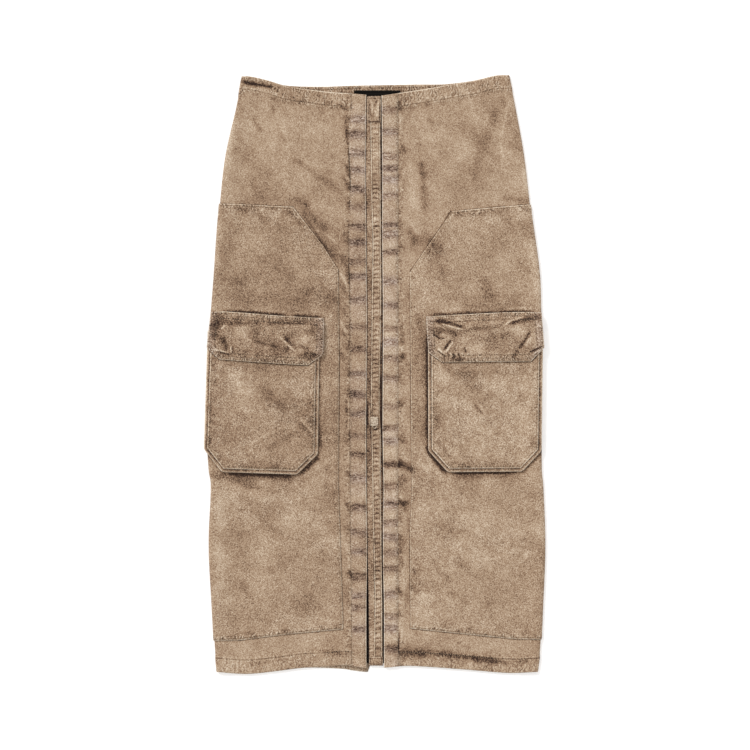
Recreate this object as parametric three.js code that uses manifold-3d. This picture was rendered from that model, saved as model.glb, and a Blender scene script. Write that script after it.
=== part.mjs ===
// A long cargo utility skirt in washed canvas, laid flat with its front up.
// Millimetres, +Z up, the waist towards +Y. The origin is on the table, below the middle of the skirt.
// Left and right are the viewer's. A side of -1 is the left half and +1 is the right half.
import * as THREE from 'three';
import { mergeVertices } from 'three/addons/utils/BufferGeometryUtils.js';
import Module from 'manifold-3d';

const wasm = await Module();
wasm.setup();

// Cloth thicknesses and the air between pieces
const CLOTH = 1.2;
const THIN_CLOTH = 1.0;
const FLAP_CLOTH = 1.8;
const PLACKET_CLOTH = 2.4;
const TAB_CLOTH = 1.4;
const SEAM_GAP = 0.3;
const POCKET_GAP = 0.5;
const CUT_HEIGHT = 80;

// Heights of the layers above the table, to the middle of the wall for the two big panels
const BACK_MIDDLE = CLOTH / 2;
const FRONT_MIDDLE = 3.4;
const FACING_BOTTOM = CLOTH + SEAM_GAP;
const LABEL_BOTTOM = FACING_BOTTOM + THIN_CLOTH + SEAM_GAP;
const TAPE_BOTTOM = CLOTH + SEAM_GAP;
const CENTRE_BOTTOM = TAPE_BOTTOM + THIN_CLOTH + SEAM_GAP;
const STRIP_BOTTOM = CENTRE_BOTTOM + CLOTH + SEAM_GAP;

// The side of the tube turns over on this radius, and the front rises to it from this far in
const ROLL_RADIUS = 2.5;
const ROLL_WIDTH = 32;
const ROLL_TOP = BACK_MIDDLE + 2 * ROLL_RADIUS;
const SEAM_ANGLE = 3.5;
const SILHOUETTE_INSET = 1.5;

// Turned edges at the waist and the hem
const PANEL_LENGTH = 827;
const TURNING = 20;
const TURNING_RISE = 0.6;
const TURNING_STEP = 5;

// Label, zip and closure
const FACING_CLEAR = 9;
const LABEL = { x: 4.5, y: 387, width: 65, height: 20 };
const TAPE = { left: -24, right: 25, bottom: -403, top: 389 };
const GUARD = { bottom: -407, top: 390.5 };
const TOP_TAB = { left: -9, right: 9.4, bottom: 353.4, top: 389.5 };
const BOTTOM_TAB_TOP = -394.8;
const TAB_INSET = 0.4;
const PUCKER_PITCH = 6.6;
const PUCKER_RISE = 0.5;
const SLIDER = { x: 0.4, y: -65, width: 10.5, length: 12.6, thickness: 2, corner: 2.2 };
const SLIDER_TAB = { width: 8, length: 4.4 };
const LADDER_RISE = 0.5;
const RUNG_WIDTH = 7;
const PLACKET_MIDDLE = 22;

// Pockets
const GUSSET_HEIGHT = 2.4;
const GUSSET_WIDTH = 9;
const GUSSET_PEEK = 4;
const POCKET_TOP = 62;
const FACE_SAG = { depth: 1, x: 156, y: -34, halfWidth: 30, halfLength: 50, ramp: 38 };
const FLAP_DROP = 14;

// Rectangles that the pockets and flaps are cut from, on either side of the middle
const POCKET_FIELD = { inner: 66, outer: 242, columns: 12, bottom: -142, top: POCKET_TOP, rows: 13 };
const FLAP_FIELD = { inner: 66, outer: 242, columns: 15, bottom: 11, top: 91, rows: 9 };

// How far the centre pieces are lifted over the waist facing and the label
const CENTRE_LIFT = { height: 2.6, x: 2, half: 20, ramp: 40, from: 340, to: 375 };
const CENTRE_ROWS = [340, 347, 354, 361, 368, 375, 384];

// Side outline of the skirt, half way up its rolled edge
const SIDES = table(['y', 'left', 'right'], [
  [-416, 221, 230],
  [-392, 223, 233],
  [-322, 227, 236.5],
  [-238, 231, 239.5],
  [-154, 228, 236.5],
  [-133, 231, 234.5],
  [-70, 234, 234.5],
  [56, 230, 234],
  [140, 224, 232],
  [224, 218, 221],
  [308, 209, 211],
  [385, 192, 197],
  [419, 186, 190],
]);

// Upper and lower edges, front and back
const FRONT_WAIST = table(['x', 'y'], [
  [-186, 418.6],
  [-168, 417],
  [-146, 411.6],
  [-124, 404.6],
  [-93, 400],
  [-62, 396.2],
  [-32, 393.4],
  [10, 391.8],
  [28, 393.8],
  [69, 400],
  [110, 407],
  [141, 412.3],
  [172, 419.4],
  [190, 419.8],
]);

const BACK_WAIST = table(['x', 'y'], [
  [-186, 418.6],
  [-168, 417],
  [-146, 411.6],
  [-124, 405.4],
  [-73, 403.6],
  [-32, 405],
  [61, 406.7],
  [100, 407.2],
  [141, 412.3],
  [172, 419.4],
  [190, 419.8],
]);

const FRONT_HEM = table(['x', 'y'], [
  [-221, -415.8],
  [-180, -418.6],
  [-146, -415.8],
  [-101, -410.2],
  [-62, -408],
  [-43, -406.3],
  [-11, -410.2],
  [15, -409.8],
  [45, -407.4],
  [78, -408.8],
  [134, -413],
  [190, -417.2],
  [228, -415.8],
]);

const BACK_HEM = table(['x', 'y'], [
  [-221, -415],
  [-180, -417.6],
  [-101, -410],
  [-43, -411.3],
  [-30, -413.6],
  [-9, -415.7],
  [-6.5, -413.6],
  [-5, -405],
  [45, -405],
  [112, -409],
  [157, -414],
  [228, -415],
]);

const CENTRE_BACK = table(['y', 'x'], [
  [-416, -5],
  [0, -2.5],
  [406, 0],
]);

// The centre opening: the stitched outer edge and the folded edge of each placket,
// and the width of the dark slot between each folded edge and the zip guard
const OPENING = table(['y', 'leftStitch', 'leftEdge', 'rightEdge', 'rightStitch', 'leftSlot', 'rightSlot'], [
  [-412, 30.4, 10.6, 14, 33.6, 3.8, 2.2],
  [-320, 31, 10.6, 13.9, 33.6, 3.6, 2.2],
  [-280, 31.4, 10, 13, 33.4, 1.6, 1.2],
  [-235, 32, 9.8, 12.6, 33.4, 0.9, 1.3],
  [-155, 32.6, 10.6, 13.3, 33.6, 0.9, 1.6],
  [-75, 33, 10.9, 11.9, 33.6, 1, 1.6],
  [-57, 33, 10.9, 11.9, 33.6, 1.8, 1.6],
  [-38, 33, 10.7, 12, 33.6, 0.6, 1.6],
  [84, 33, 9.8, 12.6, 33.6, 0.5, 1.6],
  [189, 33, 10.9, 11.5, 33.6, 0.5, 1.6],
  [280, 33, 11.9, 11.6, 33.6, 0.5, 1.6],
  [394, 33, 10.8, 10.5, 33.6, 0.5, 1],
]);

const GUARD_STRIP = table(['y', 'left', 'right'], [
  [-394, 0, 11.2],
  [-315, 1.1, 11.2],
  [-259, 0, 10.5],
  [-203, -1.4, 9.8],
  [-147, -2.1, 9.1],
  [-77, -3.5, 9.1],
  [-42, -4.2, 7.7],
  [105, -2.8, 9.8],
  [189, -1.8, 9.4],
  [245, -3.5, 9.1],
  [352, -4.9, 8.4],
]);

// The drawn-in lines across each placket, one for each rung of its ladder, from the waist down
const RUNGS = {
  left: [360, 339, 314, 290, 263, 239, 210, 189, 162, 141, 108, 70, 38, 4, -24, -52, -83, -109, -141, -183,
    -217, -245, -279, -307, -323, -353],
  right: [374, 343, 309, 293, 277, 253, 211, 200, 174, 134, 101, 68, 50, 25, -2, -41, -71, -90, -123, -153,
    -178, -203, -224, -246, -269, -304, -335, -351, -380],
};

// Folds of the front, and wrinkles of the flaps and pockets: a height above nought stands up
const FOLD_COLUMNS = ['x', 'y', 'angle', 'length', 'width', 'height'];

const FRONT_FOLDS = table(FOLD_COLUMNS, [
  [-160, 390, -14, 60, 13, 1.1],
  [-70, 198, -56, 110, 20, 1.3],
  [-84, 172, -52, 80, 12, -0.7],
  [-52, 170, -45, 70, 12, 0.8],
  [61, 182, 69, 70, 14, -1],
  [82, 190, 60, 80, 14, 1.1],
  [104, -394, -5, 160, 9, -1],
  [96, -374, -8, 120, 12, 0.8],
  [-185, -151, -19, 64, 12, -1],
  [-176, -172, -16, 80, 16, 1.1],
  [186, -158, 14, 70, 16, 0.8],
  [-60, -388, 30, 50, 13, 0.9],
  [-120, -250, 82, 220, 34, 0.8],
  [142, -270, 97, 220, 34, 0.8],
  [196, -250, 52, 80, 14, 0.8],
  [-130, 300, 78, 170, 30, 0.7],
  [140, 300, 103, 170, 30, 0.7],
]);

const FLAP_WRINKLES = {
  left: table(FOLD_COLUMNS, [
    [-150, 68, -2, 120, 7, 0.9],
    [-168, 44, -20, 70, 7, 0.9],
    [-215, 52, 55, 44, 6, 1],
    [-88, 42, -60, 36, 6, 0.8],
    [-130, 28, 4, 110, 6, 0.7],
  ]),
  right: table(FOLD_COLUMNS, [
    [110, 70, -18, 60, 6, 1],
    [170, 68, 4, 110, 7, 0.9],
    [94, 40, 50, 44, 7, 1],
    [218, 50, -48, 50, 6, 1],
    [160, 32, -3, 120, 6, 0.8],
  ]),
};

const FACE_WRINKLES = {
  left: table(FOLD_COLUMNS, [
    [-160, -60, 28, 90, 14, 0.8],
    [-128, -20, -35, 70, 12, 0.6],
    [-190, -96, 40, 60, 12, 0.7],
  ]),
  right: table(FOLD_COLUMNS, [
    [146, -50, -62, 50, 8, 0.7],
    [176, -18, 24, 80, 14, 0.7],
    [130, -98, -30, 70, 12, 0.8],
  ]),
};

// The double front on each half: its edge from the side seam at the top, round the inside, to the hem
const OVERLAY_OUTLINE = {
  left: [[-260, 241], [-190, 239.5], [-139, 236.6], [-113.4, 235.8], [-71, 181], [-49.8, 147],
    [-48.8, 20], [-49.8, -161], [-45.5, -290], [-43.5, -356], [-120, -363], [-189, -371.5], [-260, -373]],
  right: [[260, 242], [181, 236], [107.2, 229.3], [89.5, 201.3], [70.7, 174.2], [50.4, 145.3],
    [51.4, 20], [53, -172], [50.1, -231], [51.1, -355], [118, -362], [196, -369.7], [260, -371]],
};

// Pockets and flaps: from the top of the inner edge, round the bottom, to the top of the outer edge
const POCKET_OUTLINE = {
  left: [[-77, POCKET_TOP], [-79.5, -110.5], [-108.4, -138.5], [-212.7, -135.1], [-237.3, -103.6],
    [-232, POCKET_TOP]],
  right: [[76.5, POCKET_TOP], [76.9, -105.7], [103.6, -135.2], [207.2, -134.3], [233.9, -105.7],
    [236, POCKET_TOP]],
};

const FLAP_OUTLINE = {
  left: [[-70.1, 79.5], [-71, 32.1], [-74.3, 26.2], [-93.1, 13.4], [-138.9, 16], [-217, 21.8], [-233.5, 37.5],
    [-228.8, 88.1], [-208.6, 88.9], [-130.3, 82.9]],
  right: [[73.2, 81.8], [75.9, 31.8], [95.6, 17.5], [159, 18.6], [219.7, 18.9], [238.4, 38.1], [234.9, 87.6],
    [194.6, 88.1], [141.1, 85.7]],
};

const FLAP_TOP = {
  left: table(['x', 'y'], [[-229, 88.1], [-208, 88.9], [-130, 82.9], [-70, 79.5]]),
  right: table(['x', 'y'], [[73, 81.8], [141, 85.7], [195, 88.1], [235, 87.6]]),
};

// Where the points of the big panels stand: shares of the flat width, then angles round the roll
const FRONT_STATIONS = stations([0, 0.1, 0.21, 0.32, 0.43, 0.54, 0.65, 0.76, 0.84, 0.89, 0.94, 1], [60, 30]);
const BACK_STATIONS = stations([0, 0.008, 0.02, 0.12, 0.25, 0.42, 0.6, 0.8, 1], [60, 30]);
const FRONT_ROWS = [0, 10, TURNING, TURNING + TURNING_STEP, ...even(58, 745, 20),
  780, 790, 802, 807, 817, PANEL_LENGTH].map((height) => height / PANEL_LENGTH);
const BACK_ROWS = even(0, 1, 14);

// Finishes
const CANVAS = { color: 0xa98e70, roughness: 0.92, metalness: 0 };
const WORN_CANVAS = { color: 0xb59a7b, roughness: 0.92, metalness: 0 };
const DARK_CANVAS = { color: 0x8b7158, roughness: 0.94, metalness: 0 };
const BLACK_CLOTH = { color: 0x15151a, roughness: 0.85, metalness: 0 };
const PALE_METAL = { color: 0xb9ab97, roughness: 0.45, metalness: 0.7 };

// Tables and numbers

function table(columns, rows) {
  return rows.map((row) => Object.fromEntries(columns.map((name, index) => [name, row[index]])));
}

function even(from, to, count) {
  return Array.from({ length: count + 1 }, (_, index) => from + ((to - from) * index) / count);
}

function stations(shares, angles) {
  const flat = shares.map((share) => ({ share, angle: 90 }));
  const rolled = [...angles, SEAM_ANGLE].map((angle) => ({ share: 1, angle }));
  return [...flat, ...rolled];
}

function smooth(amount) {
  const held = THREE.MathUtils.clamp(amount, 0, 1);
  return held * held * (3 - 2 * held);
}

function plateau(distance, half, ramp) {
  return 1 - smooth((distance - half) / ramp);
}

// Reads a column of a table at a place along its first column, on a smooth curve through the rows
function read(rows, key, column, place) {
  const slope = (index) => {
    const before = rows[Math.max(index - 1, 0)];
    const after = rows[Math.min(index + 1, rows.length - 1)];
    return (after[column] - before[column]) / (after[key] - before[key]);
  };
  let index = 0;
  while (index < rows.length - 2 && rows[index + 1][key] < place) {
    index += 1;
  }
  const [start, end] = [rows[index], rows[index + 1]];
  const span = end[key] - start[key];
  const t = THREE.MathUtils.clamp((place - start[key]) / span, 0, 1);
  const ease = t * t * (3 - 2 * t);
  const swing = t * (1 - t) * span;
  const bend = swing * ((1 - t) * slope(index) - t * slope(index + 1));
  return start[column] + (end[column] - start[column]) * ease + bend;
}

// Surfaces

function sideX(side, y) {
  return read(SIDES, 'y', side < 0 ? 'left' : 'right', y) - SILHOUETTE_INSET;
}

function opening(side, part, y) {
  return read(OPENING, 'y', (side < 0 ? 'left' : 'right') + part, y);
}

function foldHeight(folds, x, y) {
  let height = 0;
  for (const fold of folds) {
    const turn = THREE.MathUtils.degToRad(fold.angle);
    const dx = x - fold.x;
    const dy = y - fold.y;
    const along = dx * Math.cos(turn) + dy * Math.sin(turn);
    const across = dy * Math.cos(turn) - dx * Math.sin(turn);
    const reach = plateau(Math.abs(along), fold.length * 0.2, fold.length * 0.4);
    height += fold.height * reach * Math.exp(-((across / fold.width) ** 2));
  }
  return height;
}

function centreLift(x, y) {
  const across = plateau(Math.abs(x - CENTRE_LIFT.x), CENTRE_LIFT.half, CENTRE_LIFT.ramp);
  const along = smooth((y - CENTRE_LIFT.from) / (CENTRE_LIFT.to - CENTRE_LIFT.from));
  return CENTRE_LIFT.height * across * along;
}

// Middle of the front's wall above the table, carried on level past the side of the skirt
function frontMiddle(x, y) {
  const inside = sideX(x, y) - ROLL_RADIUS - Math.abs(x);
  const flat = FRONT_MIDDLE + centreLift(x, y) + foldHeight(FRONT_FOLDS, x, y);
  return THREE.MathUtils.lerp(flat, ROLL_TOP, plateau(inside, 0, ROLL_WIDTH));
}

function frontNormal(x, y) {
  const step = 0.5;
  const slopeX = (frontMiddle(x + step, y) - frontMiddle(x - step, y)) / (2 * step);
  const slopeY = (frontMiddle(x, y + step) - frontMiddle(x, y - step)) / (2 * step);
  return new THREE.Vector3(-slopeX, -slopeY, 1).normalize();
}

function overlayTop(x, y) {
  return frontMiddle(x, y) + CLOTH / 2 + SEAM_GAP + CLOTH;
}

// Solids

// A closed wall between two grids of points, joined round the rim
function wall(columns, rows, layer) {
  const across = columns.length;
  const along = rows.length;
  const layers = rows.map((row) => columns.map((column) => layer(column, row)));
  const positions = [];
  for (const level of ['lower', 'upper']) {
    for (const points of layers.flat()) {
      positions.push(...points[level]);
    }
  }
  const index = [];
  const top = across * along;
  const quad = (a, b, c, d) => index.push(a, b, c, a, c, d);
  for (let j = 0; j < along - 1; j += 1) {
    for (let i = 0; i < across - 1; i += 1) {
      const corner = j * across + i;
      quad(top + corner, top + corner + 1, top + corner + across + 1, top + corner + across);
      quad(corner, corner + across, corner + across + 1, corner + 1);
    }
  }
  const rim = rimOf(across, along);
  rim.forEach((from, place) => {
    const to = rim[(place + 1) % rim.length];
    quad(from, to, top + to, top + from);
  });
  const geometry = new THREE.BufferGeometry();
  geometry.setAttribute('position', new THREE.Float32BufferAttribute(positions, 3));
  geometry.setIndex(index);
  return facingOut(geometry);
}

function rimOf(across, along) {
  const rim = [];
  for (let i = 0; i < across - 1; i += 1) rim.push(i);
  for (let j = 0; j < along - 1; j += 1) rim.push(j * across + across - 1);
  for (let i = across - 1; i > 0; i -= 1) rim.push((along - 1) * across + i);
  for (let j = along - 1; j > 0; j -= 1) rim.push(j * across);
  return rim;
}

// Turns every face round if the solid is inside out, as the mirrored half is
function facingOut(geometry) {
  const position = geometry.attributes.position;
  const index = geometry.index.array;
  const [a, b, c] = [new THREE.Vector3(), new THREE.Vector3(), new THREE.Vector3()];
  let volume = 0;
  for (let i = 0; i < index.length; i += 3) {
    a.fromBufferAttribute(position, index[i]);
    b.fromBufferAttribute(position, index[i + 1]);
    c.fromBufferAttribute(position, index[i + 2]);
    volume += a.dot(b.cross(c));
  }
  if (volume < 0) {
    for (let i = 0; i < index.length; i += 3) {
      [index[i], index[i + 1]] = [index[i + 1], index[i]];
    }
  }
  return geometry;
}

// A wall over a rectangle of the table, with its two heights worked out point by point
function blanket(xs, ys, lower, upper) {
  return wall(xs, ys, (x, y) => ({ lower: [x, y, lower(x, y)], upper: [x, y, upper(x, y)] }));
}

function prism(outline) {
  const shape = new THREE.Shape(outline.map(([x, y]) => new THREE.Vector2(x, y)));
  const geometry = new THREE.ExtrudeGeometry(shape, { depth: CUT_HEIGHT, bevelEnabled: false });
  return geometry.translate(0, 0, -CUT_HEIGHT / 2);
}

function solidOf(geometry) {
  const bare = geometry.clone();
  bare.deleteAttribute('normal');
  bare.deleteAttribute('uv');
  const merged = mergeVertices(bare, 1e-4);
  return new wasm.Manifold(new wasm.Mesh({
    numProp: 3,
    vertProperties: new Float32Array(merged.attributes.position.array),
    triVerts: new Uint32Array(merged.index.array),
  }));
}

function cutTo(geometry, outline) {
  const mesh = solidOf(geometry).intersect(solidOf(prism(outline))).getMesh();
  const cut = new THREE.BufferGeometry();
  cut.setAttribute('position', new THREE.BufferAttribute(mesh.vertProperties, 3));
  cut.setIndex(new THREE.BufferAttribute(mesh.triVerts, 1));
  return cut;
}

// The same path moved to its left by a distance, with its corners mitred
function moveInside(path, distance) {
  const normals = path.slice(1).map(([x, y], index) => {
    const [dx, dy] = [x - path[index][0], y - path[index][1]];
    const length = Math.hypot(dx, dy);
    return [-dy / length, dx / length];
  });
  return path.map(([x, y], index) => {
    const before = normals[Math.max(index - 1, 0)];
    const after = normals[Math.min(index, normals.length - 1)];
    const share = distance / (1 + before[0] * after[0] + before[1] * after[1]);
    return [x + share * (before[0] + after[0]), y + share * (before[1] + after[1])];
  });
}

// Panels

function flatWidth(side, share, y) {
  const inner = opening(side, 'Stitch', y) + SEAM_GAP;
  return THREE.MathUtils.lerp(inner, sideX(side, y) - ROLL_RADIUS, share);
}

// A point of the front's middle surface with the way it faces
function frontPoint(side, station, v) {
  const sideY = THREE.MathUtils.lerp(SIDES[0].y, SIDES[SIDES.length - 1].y, v);
  const flatX = side * flatWidth(side, station.share, sideY);
  const y = THREE.MathUtils.lerp(read(FRONT_HEM, 'x', 'y', flatX), read(FRONT_WAIST, 'x', 'y', flatX), v);
  const turn = THREE.MathUtils.degToRad(station.angle);
  const x = flatX + side * ROLL_RADIUS * Math.cos(turn);
  const z = frontMiddle(flatX, y) + ROLL_RADIUS * (Math.sin(turn) - 1);
  const rolled = new THREE.Vector3(side * Math.cos(turn), 0, Math.sin(turn));
  const normal = station.share < 1 ? frontNormal(flatX, y) : rolled;
  return { point: new THREE.Vector3(x, y, z), normal };
}

function moved({ point, normal }, distance) {
  return point.clone().addScaledVector(normal, distance).toArray();
}

function turningRise(v) {
  const height = v * PANEL_LENGTH;
  const fromEdge = Math.min(height, PANEL_LENGTH - height);
  return TURNING_RISE * plateau(fromEdge, TURNING, TURNING_STEP);
}

function frontPanel(side) {
  return wall(FRONT_STATIONS, FRONT_ROWS, (station, v) => {
    const place = frontPoint(side, station, v);
    return { lower: moved(place, -CLOTH / 2), upper: moved(place, CLOTH / 2 + turningRise(v)) };
  });
}

// The double front is the front's own points moved out, cut to its outline
function overlay(side) {
  const inner = CLOTH / 2 + SEAM_GAP;
  const whole = wall(FRONT_STATIONS, FRONT_ROWS, (station, v) => {
    const place = frontPoint(side, station, v);
    return { lower: moved(place, inner), upper: moved(place, inner + CLOTH) };
  });
  return cutTo(whole, OVERLAY_OUTLINE[nameOf(side)]);
}

function backPanel(side) {
  return wall(BACK_STATIONS, BACK_ROWS, (station, v) => {
    const sideY = THREE.MathUtils.lerp(SIDES[0].y, SIDES[SIDES.length - 1].y, v);
    const seam = read(CENTRE_BACK, 'y', 'x', sideY) + (side * SEAM_GAP) / 2;
    const edge = side * (sideX(side, sideY) - ROLL_RADIUS);
    const flatX = THREE.MathUtils.lerp(seam, edge, station.share);
    const y = THREE.MathUtils.lerp(read(BACK_HEM, 'x', 'y', flatX), read(BACK_WAIST, 'x', 'y', flatX), v);
    const turn = THREE.MathUtils.degToRad(station.angle);
    const x = flatX + side * ROLL_RADIUS * Math.cos(turn);
    const z = BACK_MIDDLE + ROLL_RADIUS * (1 - Math.sin(turn));
    const normal = new THREE.Vector3(-side * Math.cos(turn), 0, Math.sin(turn));
    const place = { point: new THREE.Vector3(x, y, z), normal };
    return { lower: moved(place, -CLOTH / 2), upper: moved(place, CLOTH / 2) };
  });
}

function nameOf(side) {
  return side < 0 ? 'left' : 'right';
}

// Waist facing and label

function backFacing() {
  return wall(even(0, 1, 20), [0, 1], (share, v) => {
    const x = THREE.MathUtils.lerp(FACING_CLEAR - sideX(-1, 400), sideX(1, 400) - FACING_CLEAR, share);
    const y = read(BACK_WAIST, 'x', 'y', x) - 0.8 - TURNING * (1 - v);
    return { lower: [x, y, FACING_BOTTOM], upper: [x, y, FACING_BOTTOM + THIN_CLOTH] };
  });
}

function label() {
  const geometry = new THREE.BoxGeometry(LABEL.width, LABEL.height, THIN_CLOTH);
  return geometry.translate(LABEL.x, LABEL.y, LABEL_BOTTOM + THIN_CLOTH / 2);
}

// Centre closure

// Rows of a centre piece, which share the rows of the lift over the label
function centreRows(bottom, top, between) {
  const rows = [...CENTRE_ROWS, ...between].filter((y) => y > bottom + 1 && y < top - 1);
  const sorted = [bottom, ...rows, top].sort((first, second) => first - second);
  return sorted.filter((y, index) => index === 0 || y - sorted[index - 1] > 1);
}

// A strip that runs down the closure, between two edges, with a plain underside
function centreStrip(rows, shares, left, right, bottom, thickness) {
  return wall(shares, rows, (share, y) => {
    const x = THREE.MathUtils.lerp(left(y), right(y), share);
    const z = bottom + centreLift(x, y);
    return { lower: [x, y, z], upper: [x, y, z + thickness(share, y)] };
  });
}

// The placket is drawn in by each rung and stands up in a pad between them, less so at its stitched edges
function placket(side) {
  const rungs = RUNGS[nameOf(side)];
  const pads = rungs.slice(1).map((y, index) => (y + rungs[index]) / 2);
  const middleX = side * PLACKET_MIDDLE;
  const bottom = read(FRONT_HEM, 'x', 'y', middleX);
  const top = read(FRONT_WAIST, 'x', 'y', middleX);
  const rows = centreRows(bottom, top, [...rungs, ...pads, bottom + TURNING, top - TURNING]);
  const thickness = (share, y) => {
    const nearest = Math.min(...rungs.map((rung) => Math.abs(rung - y)));
    const height = LADDER_RISE * (1 - 2 * plateau(nearest, 1, RUNG_WIDTH));
    const held = share === 0 || share === 1 ? 0.2 : 1;
    return PLACKET_CLOTH + height * held;
  };
  const outer = (y) => side * opening(side, 'Stitch', y);
  const folded = (y) => side * opening(side, 'Edge', y);
  return centreStrip(rows, [0, 0.2, 0.8, 1], outer, folded, CENTRE_BOTTOM, thickness);
}

function guardEdge(side) {
  return (y) => side * (opening(side, 'Edge', y) - opening(side, 'Slot', y));
}

function zipTape() {
  const rows = centreRows(TAPE.bottom, TAPE.top, even(-320, 300, 6));
  return centreStrip(rows, [0, 1], () => TAPE.left, () => TAPE.right, TAPE_BOTTOM, () => THIN_CLOTH);
}

function zipGuard() {
  const rows = centreRows(GUARD.bottom, GUARD.top, even(-380, 320, 26));
  return centreStrip(rows, [0, 1], guardEdge(-1), guardEdge(1), CENTRE_BOTTOM, () => CLOTH);
}

// The raised strip of the guard is drawn up into small puckers by its stitching
function guardStrip() {
  const bottom = BOTTOM_TAB_TOP + SEAM_GAP;
  const top = TOP_TAB.bottom - SEAM_GAP;
  const count = Math.round((top - bottom) / PUCKER_PITCH);
  const rows = centreRows(bottom, top, even(bottom, top, 2 * count));
  const pucker = (share, y) => {
    const wave = Math.cos((2 * Math.PI * (y - bottom) * count) / (top - bottom));
    return CLOTH - (PUCKER_RISE * (1 + wave)) / 2;
  };
  const left = (y) => read(GUARD_STRIP, 'y', 'left', y);
  const right = (y) => read(GUARD_STRIP, 'y', 'right', y);
  return centreStrip(rows, [0, 1], left, right, STRIP_BOTTOM, pucker);
}

function guardTopTab() {
  const rows = centreRows(TOP_TAB.bottom, TOP_TAB.top, []);
  return centreStrip(rows, [0, 1], () => TOP_TAB.left, () => TOP_TAB.right, STRIP_BOTTOM, () => TAB_CLOTH);
}

function guardBottomTab() {
  const left = (y) => guardEdge(-1)(y) + TAB_INSET;
  const right = (y) => guardEdge(1)(y) - TAB_INSET;
  const rows = [GUARD.bottom + TAB_INSET, BOTTOM_TAB_TOP];
  return centreStrip(rows, [0, 1], left, right, STRIP_BOTTOM, () => TAB_CLOTH);
}

// The slider's body with the short end of its tab below it, in one flat casting
function zipSlider() {
  const [half, reach, corner] = [SLIDER.width / 2, SLIDER.length / 2, SLIDER.corner];
  const shape = new THREE.Shape();
  shape.moveTo(corner - half, reach);
  shape.lineTo(half - corner, reach);
  shape.quadraticCurveTo(half, reach, half, reach - corner);
  shape.lineTo(half, corner - reach);
  shape.quadraticCurveTo(half, -reach, SLIDER_TAB.width / 2, -reach);
  shape.quadraticCurveTo(SLIDER_TAB.width / 2, -reach - SLIDER_TAB.length, 0, -reach - SLIDER_TAB.length);
  shape.quadraticCurveTo(-SLIDER_TAB.width / 2, -reach - SLIDER_TAB.length, -SLIDER_TAB.width / 2, -reach);
  shape.quadraticCurveTo(-half, -reach, -half, corner - reach);
  shape.lineTo(-half, reach - corner);
  shape.quadraticCurveTo(-half, reach, corner - half, reach);
  const body = { depth: SLIDER.thickness, bevelEnabled: false, curveSegments: 4 };
  const geometry = new THREE.ExtrudeGeometry(shape, body);
  return geometry.translate(SLIDER.x, SLIDER.y, STRIP_BOTTOM + CLOTH + SEAM_GAP);
}

// Cargo pockets

function gridOver(field, side) {
  const xs = even(field.inner * side, field.outer * side, field.columns);
  return { xs, ys: even(field.bottom, field.top, field.rows) };
}

// Three stitched-on strips carry the face clear of the skirt: inner, bottom and outer
function gussets(side) {
  const { xs, ys } = gridOver(POCKET_FIELD, side);
  const bottom = (x, y) => overlayTop(x, y) + POCKET_GAP;
  const whole = blanket(xs, ys, bottom, (x, y) => bottom(x, y) + GUSSET_HEIGHT);
  const outer = POCKET_OUTLINE[nameOf(side)];
  const inner = moveInside(outer, side * GUSSET_WIDTH);
  const strip = (from, to) => [...outer.slice(from, to + 1), ...inner.slice(from, to + 1).reverse()];
  return {
    inner: cutTo(whole, partedFrom(strip(0, 1), SEAM_GAP)),
    bottom: cutTo(whole, strip(1, 4)),
    outer: cutTo(whole, partedFrom(strip(4, 5), SEAM_GAP)),
  };
}

// Lifts the lower end of an upright strip, so that it stops short of the bottom strip
function partedFrom(outline, gap) {
  const middle = outline.reduce((sum, [, y]) => sum + y, 0) / outline.length;
  return outline.map(([x, y]) => [x, y < middle ? y + gap : y]);
}

function pocketFace(side) {
  const { xs, ys } = gridOver(POCKET_FIELD, side);
  const lift = POCKET_GAP + GUSSET_HEIGHT + SEAM_GAP;
  const wrinkles = FACE_WRINKLES[nameOf(side)];
  const bottom = (x, y) => {
    const across = plateau(Math.abs(Math.abs(x) - FACE_SAG.x), FACE_SAG.halfWidth, FACE_SAG.ramp);
    const along = plateau(Math.abs(y - FACE_SAG.y), FACE_SAG.halfLength, FACE_SAG.ramp);
    return overlayTop(x, y) + lift - FACE_SAG.depth * across * along + foldHeight(wrinkles, x, y);
  };
  const whole = blanket(xs, ys, bottom, (x, y) => bottom(x, y) + CLOTH);
  return cutTo(whole, moveInside(POCKET_OUTLINE[nameOf(side)], side * GUSSET_PEEK));
}

function flap(side) {
  const { xs, ys } = gridOver(FLAP_FIELD, side);
  const wrinkles = FLAP_WRINKLES[nameOf(side)];
  const overPocket = POCKET_GAP + GUSSET_HEIGHT + SEAM_GAP + CLOTH + SEAM_GAP;
  const bottom = (x, y) => {
    const down = read(FLAP_TOP[nameOf(side)], 'x', 'y', x) - y;
    const hang = smooth(down / FLAP_DROP);
    const wrinkle = foldHeight(wrinkles, x, y) + foldHeight(FACE_WRINKLES[nameOf(side)], x, y);
    return overlayTop(x, y) + THREE.MathUtils.lerp(POCKET_GAP, overPocket, hang) + wrinkle * hang;
  };
  const whole = blanket(xs, ys, bottom, (x, y) => bottom(x, y) + FLAP_CLOTH);
  return cutTo(whole, FLAP_OUTLINE[nameOf(side)]);
}

// Assembly

const skirt = new THREE.Group();

function add(name, geometry, finish) {
  const piece = new THREE.Mesh(geometry, new THREE.MeshStandardMaterial(finish));
  geometry.computeVertexNormals();
  piece.name = name;
  skirt.add(piece);
}

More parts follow.
